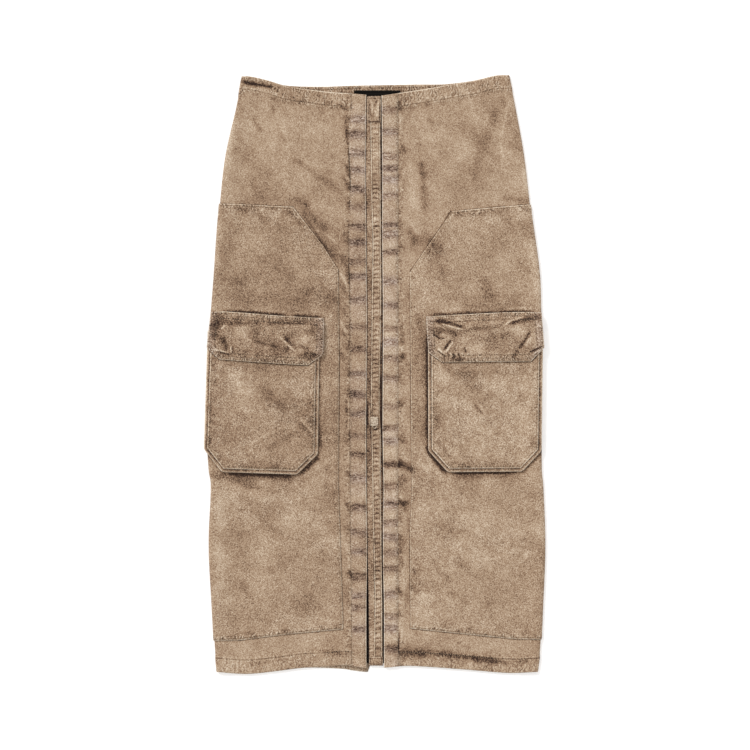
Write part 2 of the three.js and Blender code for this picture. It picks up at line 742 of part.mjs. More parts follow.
for (const side of [-1, 1]) {
  const name = nameOf(side);
  add(`back_${name}`, backPanel(side), CANVAS);
  add(`front_${name}`, frontPanel(side), CANVAS);
  add(`overlay_${name}`, overlay(side), WORN_CANVAS);
  add(`placket_${name}`, placket(side), DARK_CANVAS);
  for (const [part, strip] of Object.entries(gussets(side))) {
    add(`gusset_${name}_${part}`, strip, DARK_CANVAS);
  }
  add(`pocket_face_${name}`, pocketFace(side), WORN_CANVAS);
  add(`flap_${name}`, flap(side), CANVAS);
}
add('back_facing', backFacing(), CANVAS);
add('label', label(), BLACK_CLOTH);
add('zip_tape', zipTape(), BLACK_CLOTH);
add('zip_guard', zipGuard(), DARK_CANVAS);
add('guard_strip', guardStrip(), CANVAS);
add('guard_top_tab', guardTopTab(), DARK_CANVAS);
add('guard_bottom_tab', guardBottomTab(), CANVAS);
add('zip_slider', zipSlider(), PALE_METAL);

export default skirt;
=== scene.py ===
"""A long cargo utility skirt in washed canvas, laid flat, dressed over its packed solids.

Lengths are in millimetres until a mesh is finished, and then in metres.
Left and right are the viewer's: a side of -1 is the left half and 1 is the right half.
"""
import math
from collections import namedtuple

import bmesh
import bpy
import numpy as np
from mathutils import Matrix, Vector


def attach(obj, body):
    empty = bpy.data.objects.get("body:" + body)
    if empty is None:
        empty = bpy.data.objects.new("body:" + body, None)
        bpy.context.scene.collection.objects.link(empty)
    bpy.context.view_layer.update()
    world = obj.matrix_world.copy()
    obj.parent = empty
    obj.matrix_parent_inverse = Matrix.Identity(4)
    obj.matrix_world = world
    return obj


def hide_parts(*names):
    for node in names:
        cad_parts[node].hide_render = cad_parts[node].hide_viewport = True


bl_info = {
    "name": "Cargo utility skirt",
    "version": (1, 0, 0),
    "blender": (4, 5, 0),
    "location": "3D View > Sidebar > Skirt",
    "description": "Dresses the packed skirt in washed canvas with its seams, puckers and stitching",
    "category": "Object",
}

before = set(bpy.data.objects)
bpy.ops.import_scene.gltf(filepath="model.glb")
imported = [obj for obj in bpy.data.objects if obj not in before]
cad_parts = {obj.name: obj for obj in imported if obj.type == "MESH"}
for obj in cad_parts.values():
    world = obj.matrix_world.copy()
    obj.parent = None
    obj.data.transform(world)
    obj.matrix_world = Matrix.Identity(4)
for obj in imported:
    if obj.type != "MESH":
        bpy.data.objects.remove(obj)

MM = 0.001
SIDES_OF = {-1: "left", 1: "right"}

# Cloth walls and the air between the layers, as in the solids
CLOTH = 1.2
THIN_CLOTH = 1.0
FLAP_CLOTH = 1.8
PLACKET_CLOTH = 2.4
TAB_CLOTH = 1.4
GUSSET_CLOTH = 0.9
SEAM_GAP = 0.3
POCKET_GAP = 0.5

# Heights of the layers above the table
BACK_MIDDLE = CLOTH / 2
FRONT_MIDDLE = 3.4
FACING_BOTTOM = CLOTH + SEAM_GAP
LABEL_BOTTOM = FACING_BOTTOM + THIN_CLOTH + SEAM_GAP
TAPE_BOTTOM = CLOTH + SEAM_GAP
CENTRE_BOTTOM = TAPE_BOTTOM + THIN_CLOTH + SEAM_GAP
STRIP_BOTTOM = CENTRE_BOTTOM + CLOTH + SEAM_GAP
CLEARANCE = 0.12

# Rolled sides of the tube
ROLL_RADIUS = 2.5
ROLL_WIDTH = 32
ROLL_TOP = BACK_MIDDLE + 2 * ROLL_RADIUS
ROLL_TURN = math.radians(86.5)
SILHOUETTE_INSET = 1.5

# Turned edges, closure and pockets
TURNING = 20
TURNING_RISE = 0.6
TURNING_STEP = 5
FACING_CLEAR = 9
LABEL = {"x": 4.5, "y": 388.4, "width": 65, "height": 20}
TAPE = {"left": -24, "right": 25, "bottom": -403, "top": 389}
GUARD = {"bottom": -407, "top": 390.5}
TOP_TAB = {"left": -9, "right": 9.4, "bottom": 353.4, "top": 389.5}
BOTTOM_TAB_TOP = -394.8
TAB_INSET = 0.4
PUCKER_PITCH = 6.6
SLIDER = {"x": 0.4, "y": -65, "width": 10.5, "length": 12.6}
GUSSET_HEIGHT = 2.4
GUSSET_WIDTH = 9
GUSSET_PEEK = 4
POCKET_TOP = 62
FACE_SAG = {"depth": 1, "x": 156, "y": -34, "half_width": 30, "half_length": 50, "ramp": 38}
FLAP_DROP = 14

# Side outline of the skirt: y, left, right
SIDES = np.array([
    (-416, 221, 230), (-392, 223, 233), (-322, 227, 236.5), (-238, 231, 239.5), (-154, 228, 236.5),
    (-133, 231, 234.5), (-70, 234, 234.5), (56, 230, 234), (140, 224, 232), (224, 218, 221), (308, 209, 211),
    (385, 192, 197), (419, 186, 190),
])

# Upper and lower edges: x, y
FRONT_WAIST = np.array([
    (-187, 412.5), (-184.5, 416.6), (-180, 418.4), (-168, 417), (-146, 411.6), (-124, 404.6), (-93, 400),
    (-62, 396.2), (-32, 394.2), (-11, 392.4), (10, 391.4), (28, 393.8), (69, 400), (110, 407), (141, 412.3),
    (172, 419.4), (190, 419.8),
])
BACK_WAIST = np.array([
    (-187, 412.5), (-184.5, 416.6), (-180, 418.4), (-168, 417), (-146, 411.6), (-124, 405.4), (-73, 403.6),
    (-32, 405), (61, 406.7), (100, 407.2), (141, 412.3), (172, 419.4), (190, 419.8),
])
FRONT_HEM = np.array([
    (-221, -415.8), (-180, -418.6), (-146, -415.8), (-101, -410.2), (-62, -408), (-43, -406.3), (-11, -410.2),
    (15, -409.8), (45, -407.4), (78, -408.8), (134, -413), (190, -417.2), (228, -415.8),
])
BACK_HEM = np.array([
    (-221, -415), (-180, -417.6), (-101, -410), (-43, -411.3), (-30, -413.6), (-9, -415.7), (-6.5, -413.6),
    (-5, -405), (45, -405), (112, -409), (157, -414), (228, -415),
])
CENTRE_BACK = np.array([(-416, -5), (0, -2.5), (406, 0)])

# Centre opening: y, left stitch, left edge, right edge, right stitch, left slot, right slot
OPENING = np.array([
    (-412, 30.4, 10.6, 14, 33.6, 3.6, 1.5), (-320, 31, 10.6, 13.9, 33.6, 3, 1.3),
    (-280, 31.4, 10, 13, 33.4, 1.3, 0.8), (-235, 32, 9.8, 12.6, 33.4, 0.5, 0.45),
    (-155, 32.6, 10.6, 13.3, 33.6, 0.4, 0.5), (-125, 32.6, 10.7, 12.7, 33.6, 0.4, 0.8),
    (-75, 33, 10.9, 11.9, 33.6, 0.6, 0.9), (-57, 33, 10.9, 11.9, 33.6, 1.5, 0.7),
    (-38, 33, 10.7, 12, 33.6, 0.3, 0.7), (84, 33, 9.8, 12.6, 33.6, 0.25, 0.25),
    (130, 33.6, 10.3, 12.1, 33.6, 0.25, 0.25), (161, 34.8, 10.6, 11.8, 33.4, 0.25, 0.25),
    (210, 34.6, 11, 11.5, 33.6, 0.25, 0.35), (259, 32.4, 11.6, 11.6, 33.8, 0.25, 0.6),
    (287, 33.2, 11.9, 11.6, 33.4, 0.25, 0.6), (336, 35.2, 11.5, 11.2, 33.8, 0.25, 0.6),
    (371, 31.4, 11.1, 10.8, 33.2, 0.25, 0.5), (394, 31, 10.8, 10.5, 33.6, 0.25, 0.7),
])
OPENING_COLUMN = {
    (-1, "stitch"): 1, (-1, "edge"): 2, (1, "edge"): 3, (1, "stitch"): 4, (-1, "slot"): 5, (1, "slot"): 6,
}
GUARD_STRIP = np.array([
    (-394, 0, 11.2), (-315, 1.1, 11.2), (-259, 0, 10.5), (-203, -1.4, 9.8), (-147, -2.1, 9.1),
    (-77, -3.5, 9.1), (-42, -4.2, 7.7), (105, -2.8, 9.8), (189, -1.8, 9.4), (245, -3.5, 9.1),
    (352, -4.9, 8.4),
])

# Heights along each placket where it is drawn in, one for each rung of its ladder
RUNGS = {
    -1: (360, 339, 314, 290, 263, 239, 210, 189, 162, 141, 108, 70, 38, 4, -24, -52, -83, -109, -141, -183,
         -217, -245, -279, -307, -323, -353),
    1: (374, 343, 309, 293, 277, 253, 211, 200, 174, 134, 101, 68, 50, 25, -2, -41, -71, -90, -123, -153,
        -178, -203, -224, -246, -269, -304, -335, -351, -380),
}

# Main folds, as in the solids: x, y, angle, length, width, height
FRONT_FOLDS = (
    (-160, 390, -14, 60, 13, 1.1), (-70, 198, -56, 110, 20, 1.3), (-84, 172, -52, 80, 12, -0.7),
    (-52, 170, -45, 70, 12, 0.8), (61, 182, 69, 70, 14, -1), (82, 190, 60, 80, 14, 1.1),
    (104, -394, -5, 160, 9, -1), (96, -374, -8, 120, 12, 0.8), (-185, -151, -19, 64, 12, -1),
    (-176, -172, -16, 80, 16, 1.1), (186, -158, 14, 70, 16, 0.8), (-60, -388, 30, 50, 13, 0.9),
    (-120, -250, 82, 220, 34, 0.8), (142, -270, 97, 220, 34, 0.8), (196, -250, 52, 80, 14, 0.8),
    (-130, 300, 78, 170, 30, 0.7), (140, 300, 103, 170, 30, 0.7),
)
FLAP_WRINKLES = {
    -1: ((-150, 68, -2, 120, 7, 0.9), (-168, 44, -20, 70, 7, 0.9), (-215, 52, 55, 44, 6, 1),
         (-88, 42, -60, 36, 6, 0.8), (-130, 28, 4, 110, 6, 0.7)),
    1: ((110, 70, -18, 60, 6, 1), (170, 68, 4, 110, 7, 0.9), (94, 40, 50, 44, 7, 1), (218, 50, -48, 50, 6, 1),
        (160, 32, -3, 120, 6, 0.8)),
}
FACE_WRINKLES = {
    -1: ((-160, -60, 28, 90, 14, 0.8), (-128, -20, -35, 70, 12, 0.6), (-190, -96, 40, 60, 12, 0.7)),
    1: ((146, -50, -62, 50, 8, 0.7), (176, -18, 24, 80, 14, 0.7), (130, -98, -30, 70, 12, 0.8)),
}

# Cut edges of the double fronts, pockets and flaps: the inner corners and the straight cuts of each
OVERLAY = {
    -1: {
        "top": ((-260, 241), (-190, 239.5), (-139, 236.6), (-113.4, 235.8), (-40, 235.8)),
        "inner": ((-356, -43.5), (-290, -45.5), (-161, -49.8), (20, -48.8), (147, -49.8), (242, -49.8)),
        "bottom": ((-260, -373), (-189, -371.5), (-120, -363), (-43.5, -356)),
        "edge": ((-240, 241), (-190, 239.5), (-139, 236.6), (-113.4, 235.8), (-71, 181), (-49.8, 147),
                 (-48.8, 20), (-49.8, -161), (-45.5, -290), (-43.5, -356), (-120, -363), (-189, -371.5),
                 (-240, -372.6)),
        "cuts": (((-113.4, 235.8), (-71, 181)), ((-71, 181), (-49.8, 147))),
    },
    1: {
        "top": ((40, 229.3), (107.2, 229.3), (181, 236), (260, 242)),
        "inner": ((-355, 51.1), (-231, 50.1), (-172, 53), (20, 51.4), (145.3, 50.4), (242, 50.4)),
        "bottom": ((51.1, -355), (118, -362), (196, -369.7), (260, -371)),
        "edge": ((245, 240.9), (181, 236), (107.2, 229.3), (89.5, 201.3), (70.7, 174.2), (50.4, 145.3),
                 (51.4, 20), (53, -172), (50.1, -231), (51.1, -355), (118, -362), (196, -369.7),
                 (245, -370.7)),
        "cuts": (((107.2, 229.3), (70.7, 174.2)), ((70.7, 174.2), (50.4, 145.3))),
    },
}
POCKET = {
    -1: ((-77, 62), (-79.5, -110.5), (-108.4, -138.5), (-212.7, -135.1), (-237.3, -103.6), (-232, 62)),
    1: ((76.5, 62), (76.9, -105.7), (103.6, -135.2), (207.2, -134.3), (233.9, -105.7), (236, 62)),
}
FLAP = {
    -1: {
        "top": ((-229, 88.1), (-208, 88.9), (-130, 82.9), (-70, 79.5)),
        "bottom": ((-240, 22), (-217, 21.8), (-138.9, 16), (-93.1, 13.4), (-70, 12)),
        "inner": ((10, -71), (32.1, -71), (79.5, -70.1)),
        "outer": ((10, -235.8), (37.5, -233.5), (88.1, -228.8)),
        "cuts": (((-71, 32.1), (-74.3, 26.2)), ((-74.3, 26.2), (-93.1, 13.4)),
                 ((-217, 21.8), (-233.5, 37.5))),
        "edge": ((-70.1, 79.5), (-71, 32.1), (-74.3, 26.2), (-93.1, 13.4), (-138.9, 16), (-217, 21.8),
                 (-233.5, 37.5), (-228.8, 88.1), (-208.6, 88.9), (-130.3, 82.9), (-70.1, 79.5)),
    },
    1: {
        "top": ((73, 81.8), (141, 85.7), (195, 88.1), (235, 87.6)),
        "bottom": ((70, 17.4), (95.6, 17.5), (159, 18.6), (219.7, 18.9), (240, 19)),
        "inner": ((10, 76.8), (31.8, 75.9), (81.8, 73.2)),
        "outer": ((10, 239), (38.1, 238.4), (87.6, 234.9)),
        "cuts": (((75.9, 31.8), (95.6, 17.5)), ((219.7, 18.9), (238.4, 38.1))),
        "edge": ((73.2, 81.8), (75.9, 31.8), (95.6, 17.5), (159, 18.6), (219.7, 18.9), (238.4, 38.1),
                 (234.9, 87.6), (194.6, 88.1), (141.1, 85.7), (73.2, 81.8)),
    },
}

# How far the centre pieces are lifted over the waist facing and the label
CENTRE_LIFT = {"height": 2.6, "x": 2, "half": 20, "ramp": 40, "from": 340, "to": 375}

# Floor, camera and lights, in metres: name, place, spread in degrees and share of the key light
FLOOR_HALF = 6
FLOOR_DROP = 0.0003
CAMERA_PLACE = (0.0014, 0, 2.4)
LIGHTS = (
    ("Key light", (-1.5, 1.7, 1.9), 24, 1),
    ("Soft light", (1.4, -0.9, 2.4), 60, 0.25),
)

# Rows of stitching, counted in from the edge of each piece
WAIST_ROW = 18.5
HEM_ROW = 19.5
OVERLAY_ROW = 2.4
FACE_ROW = 2.6
FLAP_ROWS = {"rim": 1.6, "margin": 9.6}
PLACKET_ROWS = {"folded": 2.2, "sewn": 1.2}
STRIP_ROW = 1.6
THREAD = {"half_width": 0.32, "half_height": 0.24, "rise": 0.06}

# Creases, stains and painted shadows are placed on squared paper, counted from its upper left corner
PAPER = {"square": 1.4, "x": 374, "y": 375}
RISE, DYE_AND_SHADE = 5, 6

# From x, y to x, y in squares, then half width in squares, height in mm and dye and painted shade: dark above
# nought. This column holds dye stains, painted shadows along the edges of the pockets, flaps and closure, and
# darker troughs and paler ridges of the creases
SKIRT_MARKS = (
    (241, 81.5, 275, 87.8, 1.5, -0.7, 0.85), (242, 83, 258, 84.5, 2.4, 0, 0.3),
    (274, 88, 278, 91, 1.4, 0, 0.3), (240, 86.8, 276, 92.4, 1.4, 0.3, -0.14),
    (271, 97, 274, 100, 1.8, 0, 0.2), (290, 98, 301, 103, 2.2, 0, 0.28), (302, 97, 304, 104, 1.6, 0, 0.26),
    (326, 102, 334, 103, 1.6, 0, 0.25), (337, 105, 347, 109.5, 1.6, -0.3, 0.4),
    (346, 98, 348, 112, 1.4, 0, 0.22), (252, 117, 262, 133.5, 2.2, 0, 0.24), (271, 106, 275, 113, 2, 0, 0.16),
    (280, 126, 290, 143, 1.3, 0.3, -0.13), (290, 143, 285, 151, 1.3, 0, -0.13),
    (279, 132, 285, 141, 3.4, 0, 0.14), (290, 159, 301, 163, 3.4, 0, 0.18),
    (292, 157, 346, 196, 3.2, 0, 0.18), (248, 180, 261, 194, 5.5, 0, 0.14),
    (246, 198, 298, 202, 4.5, 0, 0.12), (296, 199, 309, 206, 4, 0, 0.26),
    (233, 122, 225.5, 172, 3.2, 0, -0.2), (345, 114, 347.6, 140, 1.9, -0.3, 0.36),
    (347, 128, 347.4, 150, 1.2, 0, 0.2), (351, 143, 347, 167, 0.8, 0.5, -0.3),
    (349.5, 148, 347.5, 167, 0.8, -0.3, 0.45), (345.5, 163, 349.5, 178, 1.9, 0, 0.32),
    (342, 175, 350, 190, 2, 0, 0.26), (303, 208, 326, 232, 5, 0, 0.3), (313, 228.5, 325, 233, 0.9, 0.5, -0.3),
    (325, 233, 336, 243, 0.9, 0.5, -0.28), (298, 208, 341, 268, 1.3, 0, 0.3),
    (316, 238, 350, 266, 5, -0.3, 0.24), (342, 256, 362, 274, 4.4, 0, 0.16),
    (325, 217, 347, 234, 1.1, 0.3, -0.14), (338.5, 270, 351, 293, 0.9, 0.5, -0.34),
    (340, 281, 346, 294, 2.2, 0, 0.26), (347, 266, 350, 283, 2.2, -0.2, 0.26),
    (342, 307, 349, 318, 2.2, 0, 0.28), (340, 319, 350, 341, 0.9, 0.4, -0.26),
    (341, 331, 350, 340, 1.8, 0, 0.22), (340, 352, 345, 362, 2, 0, 0.26),
    (348.8, 396, 349.4, 430, 1, 0.3, -0.24), (346.4, 398, 347, 428, 1.2, 0, 0.16),
    (345, 503, 351, 507, 1.8, 0, 0.26), (346, 540, 350, 572, 1.1, 0.2, -0.2),
    (348, 571, 355, 581, 1.8, -0.2, 0.3), (350, 578, 351, 623, 1.4, 0.2, -0.16),
    (345, 214, 346, 228, 1, 0.2, -0.2), (220, 222, 214, 268, 4.6, 0, -0.18), (258, 219, 270, 218, 4, 0, 0.1),
    (277, 265, 294, 278, 8, 0, 0.14), (300, 286, 340, 302, 9, 0, 0.15), (242, 276, 272, 284, 9, 0, 0.12),
    (218, 279, 248, 283, 5, 0, 0.14), (216, 294, 332, 306, 8, 0, 0.13),
    (220, 310.8, 291, 315.4, 1.3, 0, 0.95), (291, 315.4, 323, 317.2, 1.3, 0, 0.65),
    (409, 230, 416, 244, 3.2, -0.2, 0.32), (418, 238, 440, 256, 9, 0, 0.24),
    (430, 238, 443, 254, 5.5, 0, 0.18), (405, 215, 420, 235, 1.6, 0.3, -0.14),
    (521, 220, 535, 238, 5, 0, 0.18), (506, 217, 512, 231, 4, 0, 0.14),
    (431.5, 278.5, 440, 285, 0.8, 0.3, -0.28), (440, 264, 444, 279, 3.6, 0, 0.14),
    (484, 278, 491, 299, 6.5, 0, 0.2), (531, 242, 538, 298, 4, 0, -0.18), (418, 312, 424, 346, 3, 0, 0.26),
    (402, 283, 402.6, 292, 2, 0, 0.26), (408, 284, 408.6, 300, 2, 0, 0.22),
    (403, 284, 403.6, 298, 1.2, 0.3, -0.16), (401, 324, 403, 346, 2.2, 0, 0.26),
    (404.4, 316, 403.6, 330, 1.1, 0.3, -0.18), (401, 355, 405, 358, 3, -0.2, 0.34),
    (405, 361, 410, 367, 1.1, 0, 0.3), (401, 382, 404, 387, 1.8, 0, 0.26),
    (400, 401, 402, 405, 2.2, -0.2, 0.36), (400, 437, 407, 445, 3, 0, 0.24),
    (460, 305.4, 529, 310, 2.6, 0, 0.14), (427, 315.3, 478, 312.6, 1.4, 0, 0.7),
    (466, 313.2, 538, 311.2, 1.4, 0, 0.75), (440, 296, 530, 304, 7, 0, 0.12),
    (358, 228, 358.6, 262, 6, 0, 0.22), (505, 309.4, 515, 307.4, 0.8, 0.4, -0.34),
    (515, 307.4, 533, 309, 0.8, 0.4, -0.28), (494, 109, 496, 128, 3.6, 0, 0.18),
    (486, 112, 489, 130, 1.4, 0, -0.12), (500.5, 95, 505, 105, 2.6, 0, 0.2),
    (509, 101, 500, 140, 1.2, 0.3, -0.16), (500, 140, 504, 160, 0.9, 0.3, -0.2),
    (515, 131, 517, 143, 3, 0, 0.14), (505, 142, 520, 149, 3.6, 0, 0.14), (426, 102, 433, 109, 3.4, 0, 0.2),
    (428, 119.6, 433, 123, 2.6, 0, 0.16), (464, 126, 485, 146, 8, 0, 0.13),
    (417.5, 143, 421, 146, 2.2, 0, 0.22), (420, 162, 424.6, 180, 3, 0, 0.4), (423, 180, 425, 212, 4, 0, 0.32),
    (457, 165, 478, 177, 6, 0, 0.12), (409.5, 158, 413, 204, 3, 0, -0.1), (498, 100, 474, 174, 5, 0, 0.16),
    (500, 197, 529, 202, 2.8, 0, 0.2), (522, 166, 531, 198, 2.6, 0, -0.16),
    (397.5, 101, 401.5, 114, 1.8, 0, 0.12), (400.8, 114, 400.8, 130, 1, 0.4, -0.26),
    (400.5, 143, 406, 154, 2.2, 0, 0.3), (405.5, 166, 400.6, 188, 0.8, 0.3, -0.24),
    (402, 180, 404.5, 192, 1.5, 0, 0.2), (440, 216, 460, 222, 6, 0, -0.08),
    (222, 473.6, 297, 476, 1.6, 0, 0.85), (208, 475, 262, 480, 3.4, -0.1, 0.34),
    (228, 479, 262, 489, 3, -0.3, 0.26), (258, 477, 300, 479, 2.6, 0, 0.3),
    (228, 486, 268, 500, 3, 0.4, -0.1), (298, 476, 320, 456, 2, 0, 0.66),
    (320.4, 452, 320, 425, 1.2, 0, 0.36), (427, 326, 427.6, 452, 1.5, 0, 0.62),
    (423.6, 336, 424.6, 446, 3, 0, 0.16), (426.6, 446, 428.4, 452, 2, 0, 0.6),
    (427.6, 451, 446.6, 474, 2.2, 0, 0.9), (448, 473, 522, 472.4, 1, 0, 0.9),
    (452, 476, 518, 475.6, 3, 0, 0.24), (523, 472.6, 541, 452, 1.6, 0, 0.3),
    (307, 476, 338, 454, 1.6, 0.2, -0.12), (260, 512, 277, 534, 8, 0, 0.11), (231, 529, 253, 534, 4, 0, 0.13),
    (218, 500, 222, 600, 5, 0, -0.08), (237, 533, 241, 538, 3, 0, 0.12), (402, 352, 403, 358, 2.4, 0, 0.25),
    (384, 464.6, 402, 465.6, 3, -0.3, 0.6), (398, 462, 415, 471, 3.6, -0.3, 0.6),
    (402, 474, 406, 482, 1.8, 0, 0.3), (414, 456, 430, 474, 2.2, 0.2, -0.12),
    (384, 503.4, 410, 503, 2.6, -0.3, 0.6), (402, 505, 407, 512, 2, 0, 0.3),
    (408.6, 515, 408.6, 534, 1.8, 0, 0.26), (405.5, 540, 400.5, 640, 1.5, 0.3, -0.15),
    (396, 588, 404, 596, 2.4, -0.2, 0.34), (408.4, 580, 407.6, 604, 1.6, 0, 0.24),
    (399, 535, 404, 546, 1.5, 0, 0.26), (400.6, 556, 404, 570, 1.4, 0, 0.26),
    (384, 646, 397, 648, 4, -0.2, 0.6), (386, 652, 431, 653.4, 2.6, -0.1, 0.34),
    (400, 651.5, 430, 653, 5.6, 0, 0.34), (428, 653.4, 503, 660, 2, -0.1, 0.36),
    (430, 654, 504, 661, 5, 0, 0.22), (430, 651, 455, 652, 1.6, 0, 0.2), (470, 660, 512, 663, 2.4, 0, 0.26),
    (512, 660, 530, 661, 1.2, 0, 0.2), (400, 629, 397.4, 652, 1.1, -0.3, 0.5),
    (402.4, 632, 400, 650, 0.9, 0.3, -0.28), (457, 642, 471, 649.5, 2.6, 0, 0.18),
    (409, 626, 419, 636, 1.8, 0, 0.22), (311, 650, 350, 654, 1.9, 0, 0.26),
    (241, 584, 247, 590, 3.4, 0, 0.22), (294, 590, 314, 604, 13, 0, 0.15), (350, 566, 360, 620, 5, 0, 0.1),
    (268, 568, 272, 571, 3, 0, 0.16), (340, 566, 348, 606, 3.4, 0, 0.12), (457, 560, 471, 567, 4.4, 0, 0.13),
    (437, 571, 447, 578, 3.4, 0, 0.15), (448, 590, 454, 597, 3.4, 0, 0.15),
    (460, 600, 467, 605, 3.4, 0, 0.14), (410, 586, 419, 593, 2.8, 0, 0.22),
    (414, 569, 416, 575, 2.4, 0, 0.18), (544, 545, 481, 588, 2.6, 0, -0.08), (519, 534, 543, 552, 5, 0, 0.12),
    (446, 553, 468, 537, 6, 0, -0.1), (480, 515, 520, 530, 7, 0, -0.06), (389, 605, 400, 641, 5, 0, -0.08),
)

POCKET_MARKS = (
    (230, 372, 250, 400, 8, 0, -0.16), (300, 418, 315, 436, 1.1, 0.4, -0.32),
    (298, 421, 312, 436, 2, -0.2, 0.2), (248, 446, 273, 430, 1.2, 0.3, -0.22),
    (273, 430, 300, 424, 1.2, 0.2, -0.14), (262, 450, 304, 430, 3, 0, 0.12),
    (218.5, 360, 218.5, 396, 0.8, 0.1, -0.2), (225, 366, 262, 368, 3, 0, 0.16),
    (262, 385, 286, 412, 6, 0, 0.18), (239, 414, 246, 421, 4, 0, 0.14), (309, 419, 318, 430, 2.2, 0, 0.2),
    (292, 395, 312, 430, 9, 0, 0.08), (210, 436, 209, 447, 2, 0, 0.3), (207, 392, 211, 425, 2.4, 0, 0.2),
    (222, 466.4, 296, 467.4, 1, 0, 0.2), (474, 404, 483.5, 415, 1.3, -0.2, 0.42),
    (477, 403, 487, 415, 1, 0.4, -0.22), (446, 373, 520, 372, 3, 0, 0.12), (500, 390, 530, 430, 10, 0, -0.1),
    (471, 431, 481, 438, 3.6, 0, 0.14), (462, 372, 480, 390, 6, 0, 0.16), (434, 368, 448, 382, 6, 0, -0.14),
    (434, 398, 436, 424, 2.4, 0, 0.2), (436, 440, 452, 458, 2, 0, 0.26), (448, 463, 470, 466.6, 1.8, 0, 0.22),
    (523, 464, 538, 447, 2.6, 0.1, -0.2), (470, 455, 520, 458, 6, 0, -0.06),
)

FLAP_MARKS = (
    (214, 315, 226, 320, 4, 0, 0.26), (226, 322.8, 262, 323.3, 2.8, -0.2, 0.4),
    (262, 322.6, 312, 323.4, 2.4, -0.15, 0.38), (226, 317.6, 312, 320.6, 2.6, 0, 0.06),
    (255, 327, 257, 343, 4.6, -0.2, 0.2), (253, 341, 290, 350.5, 2.4, -0.25, 0.26),
    (302, 353, 318, 356.6, 3, -0.1, 0.34), (284.5, 338, 297, 347.5, 2.2, -0.25, 0.36),
    (299, 345, 309, 349, 1.8, -0.2, 0.36), (279, 336.5, 294, 350.5, 1, 0.5, -0.55),
    (311.3, 322.5, 312.4, 329, 0.8, 0, 0.36), (317, 331, 317, 350, 3, 0, 0.12),
    (314, 318.6, 322, 319.6, 1.5, 0.1, -0.3), (216, 320, 214.6, 342, 4.4, -0.2, 0.5),
    (222, 337, 227, 350, 3.2, -0.3, 0.6), (213, 349, 229, 353.4, 0.8, 0.5, -0.8),
    (217, 351, 230, 354.8, 0.9, -0.3, 0.9), (230.7, 346, 231.2, 352.5, 0.7, 0.4, -0.7),
    (232.4, 347, 232.4, 354, 0.8, -0.1, 0.7), (221, 329, 225.5, 325, 0.9, 0.4, -0.7),
    (214, 333, 219, 330, 0.8, 0.3, -0.3), (212, 340, 218, 343, 0.9, 0.3, -0.3),
    (226, 335, 234, 343, 6, 0, -0.16), (238, 330, 247, 346, 6, 0.2, -0.15),
    (270, 330, 280, 336, 4, 0.2, -0.12), (300, 330, 309, 340, 5, 0.2, -0.14),
    (264, 333, 272, 340, 4, 0, -0.08), (296, 356, 312, 358, 2.2, -0.1, 0.2),
    (311, 352, 316, 355, 1.3, -0.1, 0.42), (228, 314.6, 300, 318.6, 1.5, 0, -0.12),
    (244, 353.6, 246, 359, 1.3, 0, 0.2), (427, 318.6, 434, 319.3, 1.3, 0.1, -0.25),
    (429, 321.4, 441, 321.2, 1, -0.2, 0.45), (437, 319.6, 466, 328.2, 2.1, -0.4, 0.62),
    (436, 320.4, 450, 322, 2.6, -0.1, 0.34), (440, 323.6, 467, 330.6, 0.9, 0.5, -0.6),
    (439, 326, 458, 335.6, 2.8, -0.3, 0.42), (437, 318, 443, 334, 4, 0, 0.16),
    (438, 325.4, 447, 329.8, 0.9, 0.4, -0.5), (459, 331, 505, 325.6, 2.2, -0.3, 0.4),
    (485, 340, 496, 337, 2.6, -0.1, 0.28), (500, 336.4, 512, 334, 3, -0.1, 0.16),
    (507, 323.8, 537, 317, 2.3, -0.4, 0.62), (505.5, 324.4, 511.5, 320.2, 0.9, 0.4, -0.6),
    (511.5, 320.2, 524, 316.6, 0.9, 0.35, -0.5), (531, 330.5, 519, 349, 1.9, -0.3, 0.62),
    (518, 350, 513, 358, 2.4, -0.2, 0.46), (536, 326, 541, 342, 2.4, 0.2, -0.12),
    (534, 333, 524, 350, 1.2, 0.35, -0.26), (530, 352.4, 542, 346.5, 1, -0.3, 0.8),
    (533, 354, 543, 348.6, 0.9, 0.4, -0.6), (430, 329, 440, 333, 3.6, 0, 0.34),
    (432.5, 334.5, 438.5, 337, 0.9, -0.2, 0.75), (437.5, 337.8, 445, 338.6, 1.1, -0.2, 0.6),
    (432, 340, 437, 343, 1, -0.1, 0.3), (444, 350, 451, 340, 1.1, -0.3, 0.85),
    (446, 352, 453, 342, 0.9, 0.5, -0.6), (438, 348.6, 444.5, 355, 0.9, 0.5, -0.75),
    (437.6, 350.6, 446, 356.6, 1, -0.3, 0.9), (447.6, 352, 448.6, 357, 0.8, -0.2, 0.75),
    (450.4, 352.6, 451.6, 357, 0.7, 0.3, -0.6), (453, 353, 454.4, 357.5, 0.8, -0.2, 0.75),
    (455.8, 352.6, 456.8, 356.5, 0.7, 0.3, -0.55), (458.4, 353, 459.6, 358, 0.8, -0.2, 0.65),
    (461.4, 352, 462.4, 356, 0.7, 0.3, -0.3), (464, 347, 466.4, 353.5, 1, -0.2, 0.65),
    (452, 358, 462, 361, 2.6, -0.1, 0.34), (464, 345, 478, 350, 6, 0.2, -0.14),
    (508, 330, 522, 327, 3.6, 0.2, -0.16), (524, 338, 532, 345, 4, 0.2, -0.12),
    (452, 317.4, 500, 316, 1.6, 0, -0.1),
)

